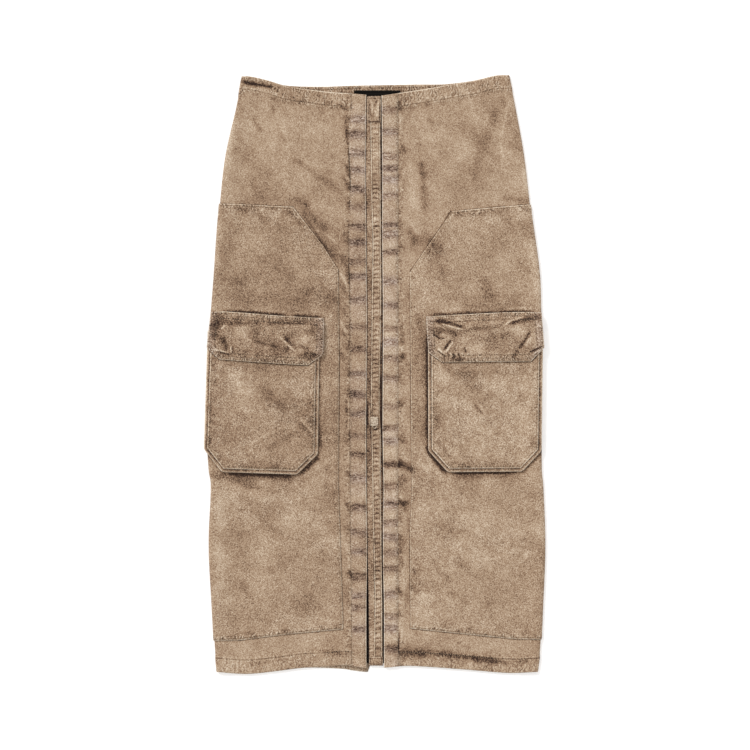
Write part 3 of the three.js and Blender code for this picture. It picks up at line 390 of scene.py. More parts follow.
CENTRE_MARKS = (
    (369.4, 101, 371, 118, 0.9, -0.2, 0.4), (377.6, 99, 374, 107, 1, -0.2, 0.36),
    (374, 108, 373, 119, 0.9, 0, 0.3), (380, 104, 379.4, 120, 0.9, 0, 0.45),
    (371.6, 99, 372.4, 112, 0.9, 0.3, -0.26), (376, 109, 377, 119, 0.9, 0.3, -0.22),
    (378.4, 100, 378, 118, 0.8, 0.3, -0.26), (370, 97.6, 376, 98.4, 1.2, 0, 0.22),
    (368, 121.6, 380.4, 122.2, 0.9, -0.2, 0.5), (367.2, 402, 367.2, 430, 1.1, 0, 0.8),
    (369.8, 405, 369.6, 427, 0.8, 0.2, -0.45), (371.3, 408, 371.1, 430, 0.8, 0, 0.6),
    (373, 428.4, 379, 428.6, 1.5, 0, 0.5), (373, 416, 379, 416, 1, 0, 0.4),
    (380.4, 410, 380.2, 428, 1, 0, 0.5), (380.4, 376, 380.4, 391, 1, 0, 0.6),
    (380.8, 343, 380.8, 366, 0.7, 0, 0.4), (380.8, 316, 380.8, 320, 0.9, 0, 0.6),
    (367.6, 228, 371.6, 234, 0.7, 0.1, -0.24), (367.6, 239, 371.6, 246, 0.7, 0.1, -0.24),
    (367.6, 251, 371.6, 258, 0.7, 0.1, -0.24), (368, 262, 371.4, 268, 0.7, 0.1, -0.2),
    (367.8, 345, 371, 352, 0.8, 0, 0.24), (368, 376, 371, 398, 1.2, 0, 0.3),
    (373, 226, 380, 226, 0.8, -0.2, 0.45), (374.6, 571, 381, 571, 0.8, -0.2, 0.45),
    (374.6, 599, 381, 599, 0.8, -0.2, 0.45), (375, 618, 381, 618, 0.8, -0.2, 0.4),
    (375, 629.6, 381, 629.6, 0.8, -0.2, 0.45), (375, 648.5, 381, 648.5, 1, -0.2, 0.5),
    (373, 296, 379, 297, 1.2, 0, 0.26), (373, 318, 380, 320, 2, 0, 0.26), (374, 386, 380, 388, 2, 0, 0.24),
    (374, 494, 380, 496, 1.6, 0, 0.24), (373, 540, 378, 545, 1.6, 0, 0.2),
)

# A stitch row: distance from the edge, way along it, place of the row, pitch, reach and strength of its
# puckers, rubbing of the edge, depth of the row, which sets how strong its painted groove shade is, and
# whether the edge is folded
Seam = namedtuple("Seam", "distance run row pitch reach strength wear sink folded", defaults=(1.0, 1.0, True))

OPERATORS = []


def smooth(amount):
    held = np.clip(amount, 0, 1)
    return held * held * (3 - 2 * held)


def plateau(distance, half, ramp):
    return 1 - smooth((distance - half) / ramp)


def lerp(start, end, share):
    return start + (end - start) * share


def bell(distance, width):
    return np.exp(-((distance / width) ** 2))


def curve(rows, place, column=1):
    """Reads a column of a table at places along its first column, on a smooth curve through the rows."""
    rows = np.asarray(rows, float)
    place = np.asarray(place, float)
    keys, values = rows[:, 0], rows[:, column]
    before = np.maximum(np.arange(len(keys)) - 1, 0)
    after = np.minimum(np.arange(len(keys)) + 1, len(keys) - 1)
    slopes = (values[after] - values[before]) / (keys[after] - keys[before])
    index = np.clip(np.searchsorted(keys, place) - 1, 0, len(keys) - 2)
    span = keys[index + 1] - keys[index]
    t = np.clip((place - keys[index]) / span, 0, 1)
    bend = t * (1 - t) * span * ((1 - t) * slopes[index] - t * slopes[index + 1])
    return lerp(values[index], values[index + 1], t * t * (3 - 2 * t)) + bend


def straight(rows, place):
    """Reads a table at places along its first column, on straight lines between the rows."""
    rows = np.asarray(rows, float)
    return np.interp(place, rows[:, 0], rows[:, 1])


def clouds(x, y, size, seed):
    """Soft, uneven patches between -0.5 and 0.5, about as wide as the size."""
    lattice = np.random.default_rng(seed).random((128, 128))
    column, row = np.floor(x / size).astype(int), np.floor(y / size).astype(int)
    right, up = smooth(x / size - column), smooth(y / size - row)

    def corner(i, j):
        return lattice[(column + i) % 128, (row + j) % 128]

    lower = lerp(corner(0, 0), corner(1, 0), right)
    upper = lerp(corner(0, 1), corner(1, 1), right)
    return lerp(lower, upper, up) - 0.5


def folds(rows, x, y):
    height = np.zeros_like(x)
    for fold_x, fold_y, angle, length, width, rise in rows:
        cos, sin = math.cos(math.radians(angle)), math.sin(math.radians(angle))
        along = (x - fold_x) * cos + (y - fold_y) * sin
        across = (y - fold_y) * cos - (x - fold_x) * sin
        height += rise * plateau(np.abs(along), length * 0.2, length * 0.4) * bell(across, width)
    return height


def marks(rows, x, y, column):
    """The creases and stains that are placed by hand: column 5 is their height and column 6 their dye."""
    total = np.zeros_like(x)
    square = PAPER["square"]
    for mark in rows:
        if mark[column] == 0:
            continue
        start_x, start_y, end_x, end_y, width = mark[:5]
        middle_x = ((start_x + end_x) / 2 - PAPER["x"]) * square
        middle_y = (PAPER["y"] - (start_y + end_y) / 2) * square
        run_x, run_y = end_x - start_x, start_y - end_y
        length = math.hypot(run_x, run_y)
        cos, sin = run_x / length, run_y / length
        along = np.abs((x - middle_x) * cos + (y - middle_y) * sin)
        across = (y - middle_y) * cos - (x - middle_x) * sin
        half, reach = length * square / 2, width * square
        total += mark[column] * bell(across, reach) * plateau(along, half * 0.6, half * 0.4 + reach)
    return total


def side_x(side, y):
    left, right = curve(SIDES, y, 1), curve(SIDES, y, 2)
    return np.where(np.asarray(side) < 0, left, right) - SILHOUETTE_INSET


def opening(side, part, y):
    return curve(OPENING, y, OPENING_COLUMN[(side, part)])


def centre_lift(x, y):
    across = plateau(np.abs(x - CENTRE_LIFT["x"]), CENTRE_LIFT["half"], CENTRE_LIFT["ramp"])
    along = smooth((y - CENTRE_LIFT["from"]) / (CENTRE_LIFT["to"] - CENTRE_LIFT["from"]))
    return CENTRE_LIFT["height"] * across * along


def crumple(x, y):
    """Small waves that the washed cloth keeps, shared by all the layers of the front."""
    broad = 0.34 * clouds(x, y, 26, 11)
    fine = 0.26 * clouds(x, y, 9.5, 12)
    return broad + fine


def front_middle(x, y):
    """Middle of the front's wall above the table, clear of what lies under it."""
    inside = side_x(x, y) - ROLL_RADIUS - np.abs(x)
    flat = FRONT_MIDDLE + centre_lift(x, y) + folds(FRONT_FOLDS, x, y)
    flat = flat + marks(SKIRT_MARKS, x, y, RISE) + crumple(x, y)
    facing = plateau(curve(BACK_WAIST, x) - y, TURNING + 2, 6)
    lowest = lerp(CLOTH, FACING_BOTTOM + THIN_CLOTH + centre_lift(x, y), facing) + CLOTH / 2 + CLEARANCE
    flat = np.maximum(flat, lowest)
    return lerp(flat, ROLL_TOP, plateau(inside, 0, ROLL_WIDTH))


def overlay_top(x, y):
    return front_middle(x, y) + CLOTH / 2 + SEAM_GAP + CLOTH


def along_path(x, y, path):
    """Distance from each point to a path, and how far along the path the nearest place is."""
    best, run, start = np.full_like(x, 1e6), np.zeros_like(x), 0
    for (from_x, from_y), (to_x, to_y) in zip(path, path[1:]):
        step_x, step_y = to_x - from_x, to_y - from_y
        length = math.hypot(step_x, step_y)
        share = np.clip(((x - from_x) * step_x + (y - from_y) * step_y) / length**2, 0, 1)
        distance = np.hypot(x - from_x - share * step_x, y - from_y - share * step_y)
        nearer = distance < best
        best = np.where(nearer, distance, best)
        run = np.where(nearer, start + share * length, run)
        start += length
    return best, run


def away_from(x, y, path):
    return along_path(x, y, path)[0]


def sewn(x, seams):
    """What the stitch rows do to the cloth: the edge, the nearest row, and the puckers along it."""
    far, none, whole = np.full_like(x, 99), np.zeros_like(x), np.ones_like(x)
    found = {"edge": far, "row": far, "phase": none, "pucker": none, "under": far, "crimp": none,
             "wear": whole, "sink": whole}
    for seam in seams:
        row = seam.distance - seam.row
        if seam.folded:
            closer = seam.distance < found["edge"]
            found["edge"] = np.where(closer, np.maximum(seam.distance, 0), found["edge"])
            found["wear"] = np.where(closer, seam.wear, found["wear"])
        nearer = np.abs(row) < np.abs(found["row"])
        found["row"] = np.where(nearer, row, found["row"])
        found["sink"] = np.where(nearer, seam.sink, found["sink"])
        inside = smooth((seam.distance + 1) / 2)
        pucker = seam.strength * inside * plateau(np.maximum(row, 0), 0, seam.reach)
        stronger = pucker > found["pucker"]
        found["phase"] = np.where(stronger, seam.run / seam.pitch, found["phase"])
        found["pucker"] = np.where(stronger, pucker, found["pucker"])
    return found


def legs(*parts):
    """Evenly spaced places over several legs: start, end and count of each."""
    places = [np.linspace(start, end, count, endpoint=False) for start, end, count in parts]
    return np.concatenate([*places, [parts[-1][1]]])


def cut_cloth(columns, rows, place, cuts=()):
    """A flat grid of cloth in the shape of its cut. Each straight cut keeps the middle of the piece."""
    bm = bmesh.new()
    bmesh.ops.create_grid(bm, x_segments=len(columns) - 1, y_segments=len(rows) - 1, size=1)
    flat = np.array([vert.co[:2] for vert in bm.verts])
    counts = (len(columns) - 1, len(rows) - 1)
    index = np.rint((flat + 1) / 2 * counts).astype(int)
    x, y = place(columns[index[:, 0]], rows[index[:, 1]])
    middle = (float(x.mean()), float(y.mean()))
    for vert, flat_x, flat_y in zip(bm.verts, x, y):
        vert.co = (flat_x, flat_y, 0)
    for (from_x, from_y), (to_x, to_y) in cuts:
        normal = Vector((to_y - from_y, from_x - to_x, 0)).normalized()
        if normal.dot((middle[0] - from_x, middle[1] - from_y, 0)) > 0:
            normal.negate()
        geometry = bm.verts[:] + bm.edges[:] + bm.faces[:]
        bmesh.ops.bisect_plane(
            bm, geom=geometry, dist=0.02, plane_co=(from_x, from_y, 0), plane_no=normal, clear_outer=True
        )
    bm.normal_update()
    if sum(face.normal.z for face in bm.faces) < 0:
        bmesh.ops.reverse_faces(bm, faces=bm.faces[:])
    return bm


def new_mesh(name, bm):
    mesh = bpy.data.meshes.new(name)
    bm.to_mesh(mesh)
    bm.free()
    return mesh


def new_object(name, data):
    made = bpy.data.objects.new(name, data)
    bpy.context.scene.collection.objects.link(made)
    return made


def own_node(name):
    return [name.rsplit("_", 1)[0]]


def add_piece(name, mesh, kind, nodes=()):
    piece = new_object(name, mesh)
    mesh.materials.append(finish_of(kind))
    mesh.polygons.foreach_set("use_smooth", np.ones(len(mesh.polygons), bool))
    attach(piece, "root")
    if nodes:
        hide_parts(*nodes)
    return piece


def drape(name, bm, lift, dress, wall, kind, nodes=None, flipped=False):
    """Lays a cut piece in its place, notes on it what its seams and stains do, and gives it its wall."""
    flat_area = sum(face.calc_area() for face in bm.faces) * MM * MM
    mesh = new_mesh(name, bm)
    flat = np.empty(len(mesh.vertices) * 3, np.float32)
    mesh.vertices.foreach_get("co", flat)
    flat = flat.reshape(-1, 3).astype(float)
    points = np.stack(lift(flat[:, 0], flat[:, 1]), 1)
    mesh.vertices.foreach_set("co", (points * MM).ravel())
    for key, values in dress(flat[:, 0], flat[:, 1]).items():
        mesh.attributes.new(key, "FLOAT", "POINT").data.foreach_set("value", values.astype(np.float32))
    if flipped:
        mesh.flip_normals()
    mesh.update()
    piece = add_piece(name, mesh, kind, nodes or own_node(name))
    shell = piece.modifiers.new("Wall", "SOLIDIFY")
    shell.thickness = wall * MM
    shell.offset = -1
    return piece


def slope_of(surface, x, y):
    step = 0.6
    slope_x = (surface(x + step, y) - surface(x - step, y)) / (2 * step)
    slope_y = (surface(x, y + step) - surface(x, y - step)) / (2 * step)
    return slope_x, slope_y


def on_tube(side, x, y, distance):
    """Points at a distance above the middle of the front, carried round the rolled side."""
    limit = side_x(side, y) - ROLL_RADIUS
    beyond = np.maximum(np.abs(x) - limit, 0)
    turn = np.pi / 2 - beyond / ROLL_RADIUS
    flat_x = np.where(beyond > 0, side * limit, x)
    height = front_middle(flat_x, y) + ROLL_RADIUS * (np.sin(turn) - 1)
    slope_x, slope_y = slope_of(front_middle, flat_x, y)
    long = np.sqrt(1 + slope_x**2 + slope_y**2)
    rolled = beyond > 0
    out_x = np.where(rolled, side * np.cos(turn), -slope_x / long)
    out_y = np.where(rolled, 0, -slope_y / long)
    out_z = np.where(rolled, np.sin(turn), 1 / long)
    point_x = flat_x + side * ROLL_RADIUS * np.cos(turn)
    return point_x + out_x * distance, y + out_y * distance, height + out_z * distance


def unrolled(side, inner, share, y):
    """Flat width of a panel that ends round the rolled side: shares over 1 go round the roll."""
    limit = side_x(side, y) - ROLL_RADIUS
    flat = lerp(inner, limit, np.minimum(share, 1))
    return side * (flat + np.maximum(share - 1, 0) * ROLL_RADIUS * ROLL_TURN)


def stains_and_shade(rows, x, y, **more):
    """Dye of a surface, from its marks, its small hollows and what else darkens it."""
    dye = marks(rows, x, y, DYE_AND_SHADE)
    broad = 0.07 * smooth((20 - x) / 40) * plateau(np.abs(y - 60), 150, 80)
    hem = -0.02 * plateau(y + 416, 6, 10)
    dye = dye - 0.16 * crumple(x, y) + broad + hem
    result = {"dye": dye, "mauve": np.zeros_like(x), "fleck": np.full_like(x, 0.4)}
    result.update(more)
    return result


class Recipe:
    """Adds nodes to a material and joins them up."""

    def __init__(self, tree):
        self.tree = tree

    def fill(self, node, values):
        for key, value in values.items():
            if isinstance(value, bpy.types.NodeSocket):
                self.tree.links.new(value, node.inputs[key])
            else:
                node.inputs[key].default_value = value

    def add(self, kind, values=None, output=0, **settings):
        node = self.tree.nodes.new(kind)
        for key, value in settings.items():
            setattr(node, key, value)
        self.fill(node, values or {})
        return node.outputs[output]

    def sum(self, operation, first, second=0.0):
        return self.add("ShaderNodeMath", {0: first, 1: second}, operation=operation)

    def chain(self, operation, parts):
        result = parts[0]
        for part in parts[1:]:
            result = self.sum(operation, result, part)
        return result

    def total(self, *parts):
        return self.chain("ADD", parts)

    def times(self, *parts):
        return self.chain("MULTIPLY", parts)

    def noise(self, place, scale, detail=2.0, roughness=0.5, distortion=0.0):
        values = {"Vector": place, "Scale": scale, "Detail": detail, "Roughness": roughness,
                  "Distortion": distortion}
        return self.add("ShaderNodeTexNoise", values)

    def centred(self, place, scale, amount, **settings):
        """Noise about nought, times an amount."""
        return self.times(self.sum("SUBTRACT", self.noise(place, scale, **settings), 0.5), amount)

    def ease(self, value, start, end, low=0.0, high=1.0):
        values = {"Value": value, "From Min": start, "From Max": end, "To Min": low, "To Max": high}
        return self.add("ShaderNodeMapRange", values, interpolation_type="SMOOTHSTEP")

    def read(self, name):
        return self.add("ShaderNodeAttribute", output=2, attribute_name=name)

    def object_place(self):
        return self.add("ShaderNodeTexCoord", output=3)

    def bump(self, height, strength, distance):
        return self.add("ShaderNodeBump", {"Height": height, "Strength": strength, "Distance": distance})

    def ramp(self, value, stops):
        node = self.tree.nodes.new("ShaderNodeValToRGB")
        while len(node.color_ramp.elements) < len(stops):
            node.color_ramp.elements.new(0.5)
        for element, (place, colour) in zip(node.color_ramp.elements, stops):
            element.position = place
            element.color = colour
        self.tree.links.new(value, node.inputs[0])
        return node.outputs[0]

    def mix(self, share, first, second, blend="MIX"):
        values = {0: share, 6: first, 7: second}
        return self.add("ShaderNodeMix", values, output=2, data_type="RGBA", blend_type=blend)


def screen_colour(red, green, blue):
    """A screen colour of 0 to 255 as the renderer's own numbers."""
    def linear(value):
        share = value / 255
        return share / 12.92 if share <= 0.04045 else ((share + 0.055) / 1.055) ** 2.4

    return (linear(red), linear(green), linear(blue), 1)


def between(first, second, share):
    return tuple(lerp(a, b, share) for a, b in zip(first, second))


def dye_tones():
    """The cloth's colours from its deepest creases to its worn edges."""
    cloth = bpy.context.scene.skirt_cloth
    deep, shade, main, worn = cloth.deep_colour, cloth.shade_colour, cloth.cloth_colour, cloth.worn_colour
    tones = (
        (0.0, deep), (0.2, between(deep, shade, 0.33)), (0.42, shade), (0.62, main),
        (0.82, between(main, worn, 0.45)), (1.0, worn),
    )
    return [(place, (*colour, 1)) for place, colour in tones]


def new_finish(name):
    finish = bpy.data.materials.new(name)
    finish.use_nodes = True
    return finish, finish.node_tree.nodes["Principled BSDF"], Recipe(finish.node_tree)


def speckled(make, place):
    """Pale flecks: thin, broken lines that are stronger in some patches."""
    ridge = make.sum("ABSOLUTE", make.centred(place, 430, 2.0, detail=1.0, distortion=0.5))
    patch = make.ease(make.noise(place, 60, 2.0), 0.4, 0.6, 0.2, 1.2)
    return make.times(make.ease(ridge, 0.09, 0.0), patch, make.read("fleck"))


def ribbed(make, place, pucker):
    """Puckers across the stitch rows, at the pitch that the piece itself holds."""
    drift = make.centred(place, 150, 3.0, detail=1.0)
    wave = make.sum("COSINE", make.times(make.total(make.read("phase"), drift), 2 * math.pi))
    uneven = make.ease(make.noise(place, 130, 2.0), 0.38, 0.62, 0.35, 1.5)
    return make.times(wave, pucker, uneven)


def crimped(make, place):
    """Fine wrinkles that run across a drawn-in strip."""
    stretched = make.add("ShaderNodeMapping", {"Vector": place, "Scale": (0.24, 1.0, 1.0)})
    contour = make.noise(stretched, 210, 2.0, 0.55, 0.6)
    return make.times(make.sum("SINE", make.times(contour, 42.0)), make.read("crimp"))


def washed_canvas(name, tone, flecks, coarse):
    """Overdyed canvas: clouds of dye, grain, pale flecks, worn edges and dark, drawn-in stitch rows."""
    finish, shader, make = new_finish(name)
    level_place = make.object_place()
    place = make.add("ShaderNodeMapping", {"Vector": level_place, "Rotation": (0.55, 0.4, 0.62)})
    cloud = make.centred(place, 24, 0.44, detail=3.0, roughness=0.6)
    mottle = make.centred(place, 120, 0.25, detail=3.0, roughness=0.65)
    grain = make.centred(place, 690, coarse, detail=1.5, roughness=0.6)
    blotch = make.ease(make.noise(place, 420, 3.0, 0.7), 0.34, 0.66, 0.6, 1.3)
    # The dye attribute holds dye stains together with painted shade and painted shadows.
    dye = make.times(make.read("dye"), blotch)
    pucker = make.read("pucker")
    rib = ribbed(make, place, pucker)
    crimp = crimped(make, level_place)
    rim = make.times(make.ease(make.read("edge"), 1.6, 0.5, 0.0, 0.24), blotch, make.read("wear"))
    # Painted shade on the cloth just beside the edge of a piece that lies over it.
    shade = make.times(make.ease(make.read("under"), 1.8, 0.3, 0.0, -0.42), blotch)
    row = make.sum("ABSOLUTE", make.read("row"))
    # Painted shade in the groove of each stitch row, with a paler line beside it; the row's depth sets how
    # strong both are.
    groove = make.ease(row, 1.0, 0.3, 0.0, -0.24)
    shoulder = make.ease(make.sum("ABSOLUTE", make.sum("SUBTRACT", row, 1.9)), 1.0, 0.2, 0.0, 0.09)
    stitched = make.times(make.total(make.times(groove, blotch), shoulder), make.read("sink"))
    value = make.total(
        cloud, mottle, grain, make.times(speckled(make, place), flecks), make.times(dye, -0.82),
        make.times(rib, 0.24), make.times(pucker, -0.03), rim, shade, make.times(crimp, 0.19), stitched, tone,
    )
    threads = {"Vector": level_place, "Scale": 180.0, "Distortion": 1.5, "Detail": 1.0, "Detail Scale": 2.0}
    weave = make.add("ShaderNodeTexWave", threads, output=1, bands_direction="DIAGONAL")
    height = make.total(
        make.times(grain, 0.2), make.times(rib, 0.6), make.times(groove, 0.8), make.times(weave, 0.05),
        make.times(mottle, 0.4), make.times(crimp, 0.4),
    )
    plain = make.ramp(value, dye_tones())
    tint = (*bpy.context.scene.skirt_cloth.mauve_tint, 1)
    make.fill(shader, {
        "Base Color": make.mix(make.read("mauve"), plain, make.mix(1.0, plain, tint, "MULTIPLY")),
        "Roughness": make.ease(value, 0.2, 0.9, 0.96, 0.86), "Normal": make.bump(height, 0.6, 0.0011),
        "Specular IOR Level": 0.2, "Sheen Weight": 0.12, "Sheen Roughness": 0.5,
    })
    return finish


def dyed_thread(name):
    """Sewing thread that took the dye of the cloth, unevenly."""
    finish, shader, make = new_finish(name)
    thread = bpy.context.scene.skirt_cloth.thread_colour
    stops = ((0.35, (*between(thread, (0, 0, 0), 0.3), 1)), (0.65, (*thread, 1)))
    colour = make.ramp(make.noise(make.object_place(), 160, 3.0, 0.7), stops)
    make.fill(shader, {"Base Color": colour, "Roughness": 0.85, "Specular IOR Level": 0.2})
    return finish


def black_weave(name, pitch):
    """Black woven tape: fine ribs across it and a little lint."""
    finish, shader, make = new_finish(name)
    place = make.object_place()
    ribs = make.add("ShaderNodeTexWave", {"Vector": place, "Scale": 1 / (pitch * MM * 20), "Distortion": 0.6},
                    output=1, bands_direction="Y")
    value = make.total(make.times(ribs, 0.3), make.times(make.noise(place, 900, 3.0, 0.7), 0.6))
    stops = ((0.2, (0.0028, 0.002, 0.0016, 1)), (0.8, (0.013, 0.0105, 0.0088, 1)))
    make.fill(shader, {"Base Color": make.ramp(value, stops), "Normal": make.bump(value, 0.5, 0.0005),
                       "Roughness": 0.9, "Specular IOR Level": 0.1})
    return finish


def dyed_metal(name):
    """Pale metal with the cloth's dye left in its corners."""
    finish, shader, make = new_finish(name)
    value = make.noise(make.object_place(), 420, 4.0, 0.7)
    stops = (
        (0.38, screen_colour(120, 98, 78)), (0.52, screen_colour(198, 180, 158)),
        (0.7, screen_colour(224, 212, 194)),
    )
    make.fill(shader, {
        "Base Color": make.ramp(value, stops), "Roughness": make.ease(value, 0.3, 0.7, 0.6, 0.35),
        "Normal": make.bump(value, 0.3, 0.0003), "Metallic": 0.3,
    })
    return finish


# Slot, recipe and the recipe's numbers of each finish
FINISHES = {
    "Canvas": ("canvas", washed_canvas, 0.58, 0.14, 1.25),
    "Worn canvas": ("worn_canvas", washed_canvas, 0.555, 0.4, 1.45),
    "Placket canvas": ("placket_canvas", washed_canvas, 0.56, 0.3, 1.3),
    "Flap canvas": ("canvas", washed_canvas, 0.57, 0.5, 1.7),
    "Black tape": ("tape_cloth", black_weave, 1.2),
    "Black label": ("label_cloth", black_weave, 0.7),
    "Dyed metal": ("slider_metal", dyed_metal),
    "Thread": ("canvas", dyed_thread),
}


def finish_of(kind):
    """One of the skirt's finishes, made the first time that it is asked for."""
    _, make_finish, *numbers = FINISHES[kind]
    return bpy.data.materials.get(kind) or make_finish(kind, *numbers)


def waist_seams(side, x, y):
    """Stitch rows of the front: the turned waist, the turned hem and the seam of the placket."""
    seam = opening(side, "stitch", y)
    return (
        Seam(curve(FRONT_WAIST, x) - y, x, WAIST_ROW, 4.4, 9, 0.6, 1 + 1.2 * plateau(np.abs(x), 80, 30), 0.8),
        Seam(y - curve(FRONT_HEM, x), x, HEM_ROW, 6.2, 7, 0.45, wear=0.3),
        Seam(np.abs(x) - seam, y, 1.0, 17, 13, 0.5, folded=False, sink=0.05),
    )


def front_panel(side):
    def place(share, v):
        rough_y = lerp(SIDES[0, 0], SIDES[-1, 0], v)
        x = unrolled(side, opening(side, "stitch", rough_y) + SEAM_GAP, share, rough_y)
        limit = side * np.minimum(np.abs(x), side_x(side, rough_y) - ROLL_RADIUS)
        return x, lerp(curve(FRONT_HEM, limit), curve(FRONT_WAIST, limit), v)

    def lift(x, y):
        edge = np.minimum(curve(FRONT_WAIST, x) - y, y - curve(FRONT_HEM, x))
        rise = TURNING_RISE * plateau(edge, TURNING, TURNING_STEP) - 0.35 * plateau(edge, 0.1, 1.6)
        return on_tube(side, x, y, CLOTH / 2 + rise)

    def dress(x, y):
        seams = waist_seams(side, x, y)
        gathers = smooth(clouds(x, y, 11, 21) * 3 + 0.4)
        waist = bell(seams[0].distance - 21, 4.5) * gathers
        hem = bell(seams[1].distance - 16, 6) * gathers
        near = bell(seams[2].distance, 8)
        away, index = nearest_rung(side, x, y)
        drawn = bell(away, 6) * (0.35 + 0.65 * np.abs(np.sin(index * 1.7 + side)))
        gather = drawn * bell(np.maximum(seams[2].distance - 2, 0), 5)
        covered = away_from(x, y, OVERLAY[side]["edge"])
        result = {**stains_and_shade(SKIRT_MARKS, x, y), **sewn(x, seams)}
        # Darker below the turned waist and above the turned hem, painted shade in the gathers beside the
        # placket's rungs, and uneven patches near the placket.
        result["dye"] += 0.1 * waist + 0.1 * hem + 0.22 * gather + 0.2 * near * clouds(x, y, 9, 22)
        # Painted shade along the edge of the double front that lies over the panel.
        result["under"] = covered + 0.2
        result["crimp"] = 0.6 * near * (0.5 + gather)
        return result

    name = SIDES_OF[side]
    columns = legs((0, 1, 100), (1, 2, 5))
    rows = legs((0, 0.07, 31), (0.07, 0.765, 190), (0.765, 1, 108))
    panel = cut_cloth(columns, rows, place)
    drape(f"front_{name}_canvas", panel, lift, dress, CLOTH, "Canvas")


def double_front(side):
    cut = OVERLAY[side]

    def place(share, v):
        y = lerp(-373.0, 242.0, v)
        x = unrolled(side, np.abs(straight(cut["inner"], y)), share, y)
        return x, lerp(straight(cut["bottom"], x), straight(cut["top"], x), v)

    def lift(x, y):
        distance = away_from(x, y, cut["edge"])
        drop = 0.3 * plateau(distance, 0.1, 1.5)
        puff = 0.22 * plateau(np.abs(distance - 6), 1, 4)
        return on_tube(side, x, y, CLOTH / 2 + SEAM_GAP + CLOTH - drop + puff)

    def dress(x, y):
        distance, run = along_path(x, y, cut["edge"])
        ends = plateau(np.minimum(np.abs(y - 236), np.abs(y + 366)), 10, 14)
        strength, wear, sink = lerp(0.3, 0.8, ends), lerp(0.7, 1, ends), lerp(0.25, 0.8, ends)
        seams = (Seam(distance, run, OVERLAY_ROW, 6.4, 8, strength, wear, sink),)
        below = bell(distance - 7, 4) * smooth(clouds(x, y, 9, 31) * 3 + 0.3)
        flecks = 0.45 + clouds(x, y, 60, 32) + 0.7 * plateau(distance, 12, 26) * smooth((y - 60) / 80)
        result = stains_and_shade(SKIRT_MARKS, x, y, fleck=smooth(flecks))
        result["dye"] += 0.2 * below * lerp(0.4, 1, ends)
        result.update(sewn(x, seams))
        pocket, flap_edge = away_from(x, y, POCKET[side]), away_from(x, y, FLAP[side]["edge"])
        # Painted shade along the edges of the pocket and the flap, and a softer painted shadow round the
        # pocket.
        result["under"] = np.minimum(pocket, flap_edge + 0.6)
        result["dye"] += 0.26 * bell(pocket, 4)
        return result

    name = SIDES_OF[side]
    columns, rows = legs((0, 1, 95), (1, 2, 5)), legs((0, 1, 270))
    drape(f"overlay_{name}_canvas", cut_cloth(columns, rows, place, cut["cuts"]), lift, dress, CLOTH,
          "Worn canvas")


def back_panel(side):
    def place(share, v):
        rough_y = lerp(SIDES[0, 0], SIDES[-1, 0], v)
        seam = side * curve(CENTRE_BACK, rough_y) + SEAM_GAP / 2
        x = unrolled(side, seam, share, rough_y)
        limit = side * np.minimum(side * x, side_x(side, rough_y) - ROLL_RADIUS)
        return x, lerp(curve(BACK_HEM, limit), curve(BACK_WAIST, limit), v)

    def lift(x, y):
        limit = side_x(side, y) - ROLL_RADIUS
        beyond = np.maximum(side * x - limit, 0)
        turn = np.pi / 2 - beyond / ROLL_RADIUS
        flat_x = np.where(beyond > 0, side * limit, x)
        point_x = flat_x + side * (ROLL_RADIUS - CLOTH / 2) * np.cos(turn)
        return point_x, y, BACK_MIDDLE + ROLL_RADIUS - (ROLL_RADIUS - CLOTH / 2) * np.sin(turn)

    def dress(x, y):
        seams = (
            Seam(curve(BACK_WAIST, x) - y, x, 19, 4.4, 8, 0.8),
            Seam(y - curve(BACK_HEM, x), x, 19.5, 6.2, 7, 0.8),
            Seam(np.abs(x - curve(CENTRE_BACK, y)), y, 2, 7, 6, 0.5),
        )
        return {**stains_and_shade((), x, y), **sewn(x, seams)}

    name = f"back_{SIDES_OF[side]}_canvas"
    columns, rows = legs((0, 0.1, 6), (0.1, 1, 32), (1, 2, 5)), legs((0, 1, 64))
    drape(name, cut_cloth(columns, rows, place), lift, dress, CLOTH, "Canvas")


def waist_facing():
    def place(share, v):
        x = lerp(FACING_CLEAR - side_x(-1, 400), side_x(1, 400) - FACING_CLEAR, share)
        return x, curve(BACK_WAIST, x) - 0.8 - TURNING * (1 - v)

    def lift(x, y):
        return x, y, np.full_like(x, FACING_BOTTOM + THIN_CLOTH)

    def dress(x, y):
        seams = (Seam(curve(BACK_WAIST, x) - 0.8 - y, x, 3.5, 3.6, 9, 1.0, wear=0.4, sink=0.5),)
        result = {**stains_and_shade((), x, y), **sewn(x, seams)}
        result["dye"] += 0.08
        # Painted shade along the front's waist edge that lies over the facing.
        result["under"] = np.abs(y - curve(FRONT_WAIST, x)) + 0.9
        return result

    strip = cut_cloth(legs((0, 1, 180)), legs((0, 1, 12)), place)
    drape("back_facing_canvas", strip, lift, dress, THIN_CLOTH, "Canvas")


def plain_dress(x, y):
    return {}


def bare_label():
    def place(share, v):
        return LABEL["x"] + (share - 0.5) * LABEL["width"], LABEL["y"] + (v - 0.5) * LABEL["height"]

    def lift(x, y):
        beside, above = np.abs(x - LABEL["x"]), np.abs(y - LABEL["y"])
        edge = np.minimum(LABEL["width"] / 2 - beside, LABEL["height"] / 2 - above)
        return x, y, LABEL_BOTTOM + THIN_CLOTH - 0.3 * plateau(edge, 0, 1)

    strip = cut_cloth(legs((0, 1, 65)), legs((0, 1, 20)), place)
    drape("label_cloth", strip, lift, plain_dress, THIN_CLOTH * 0.7, "Black label")


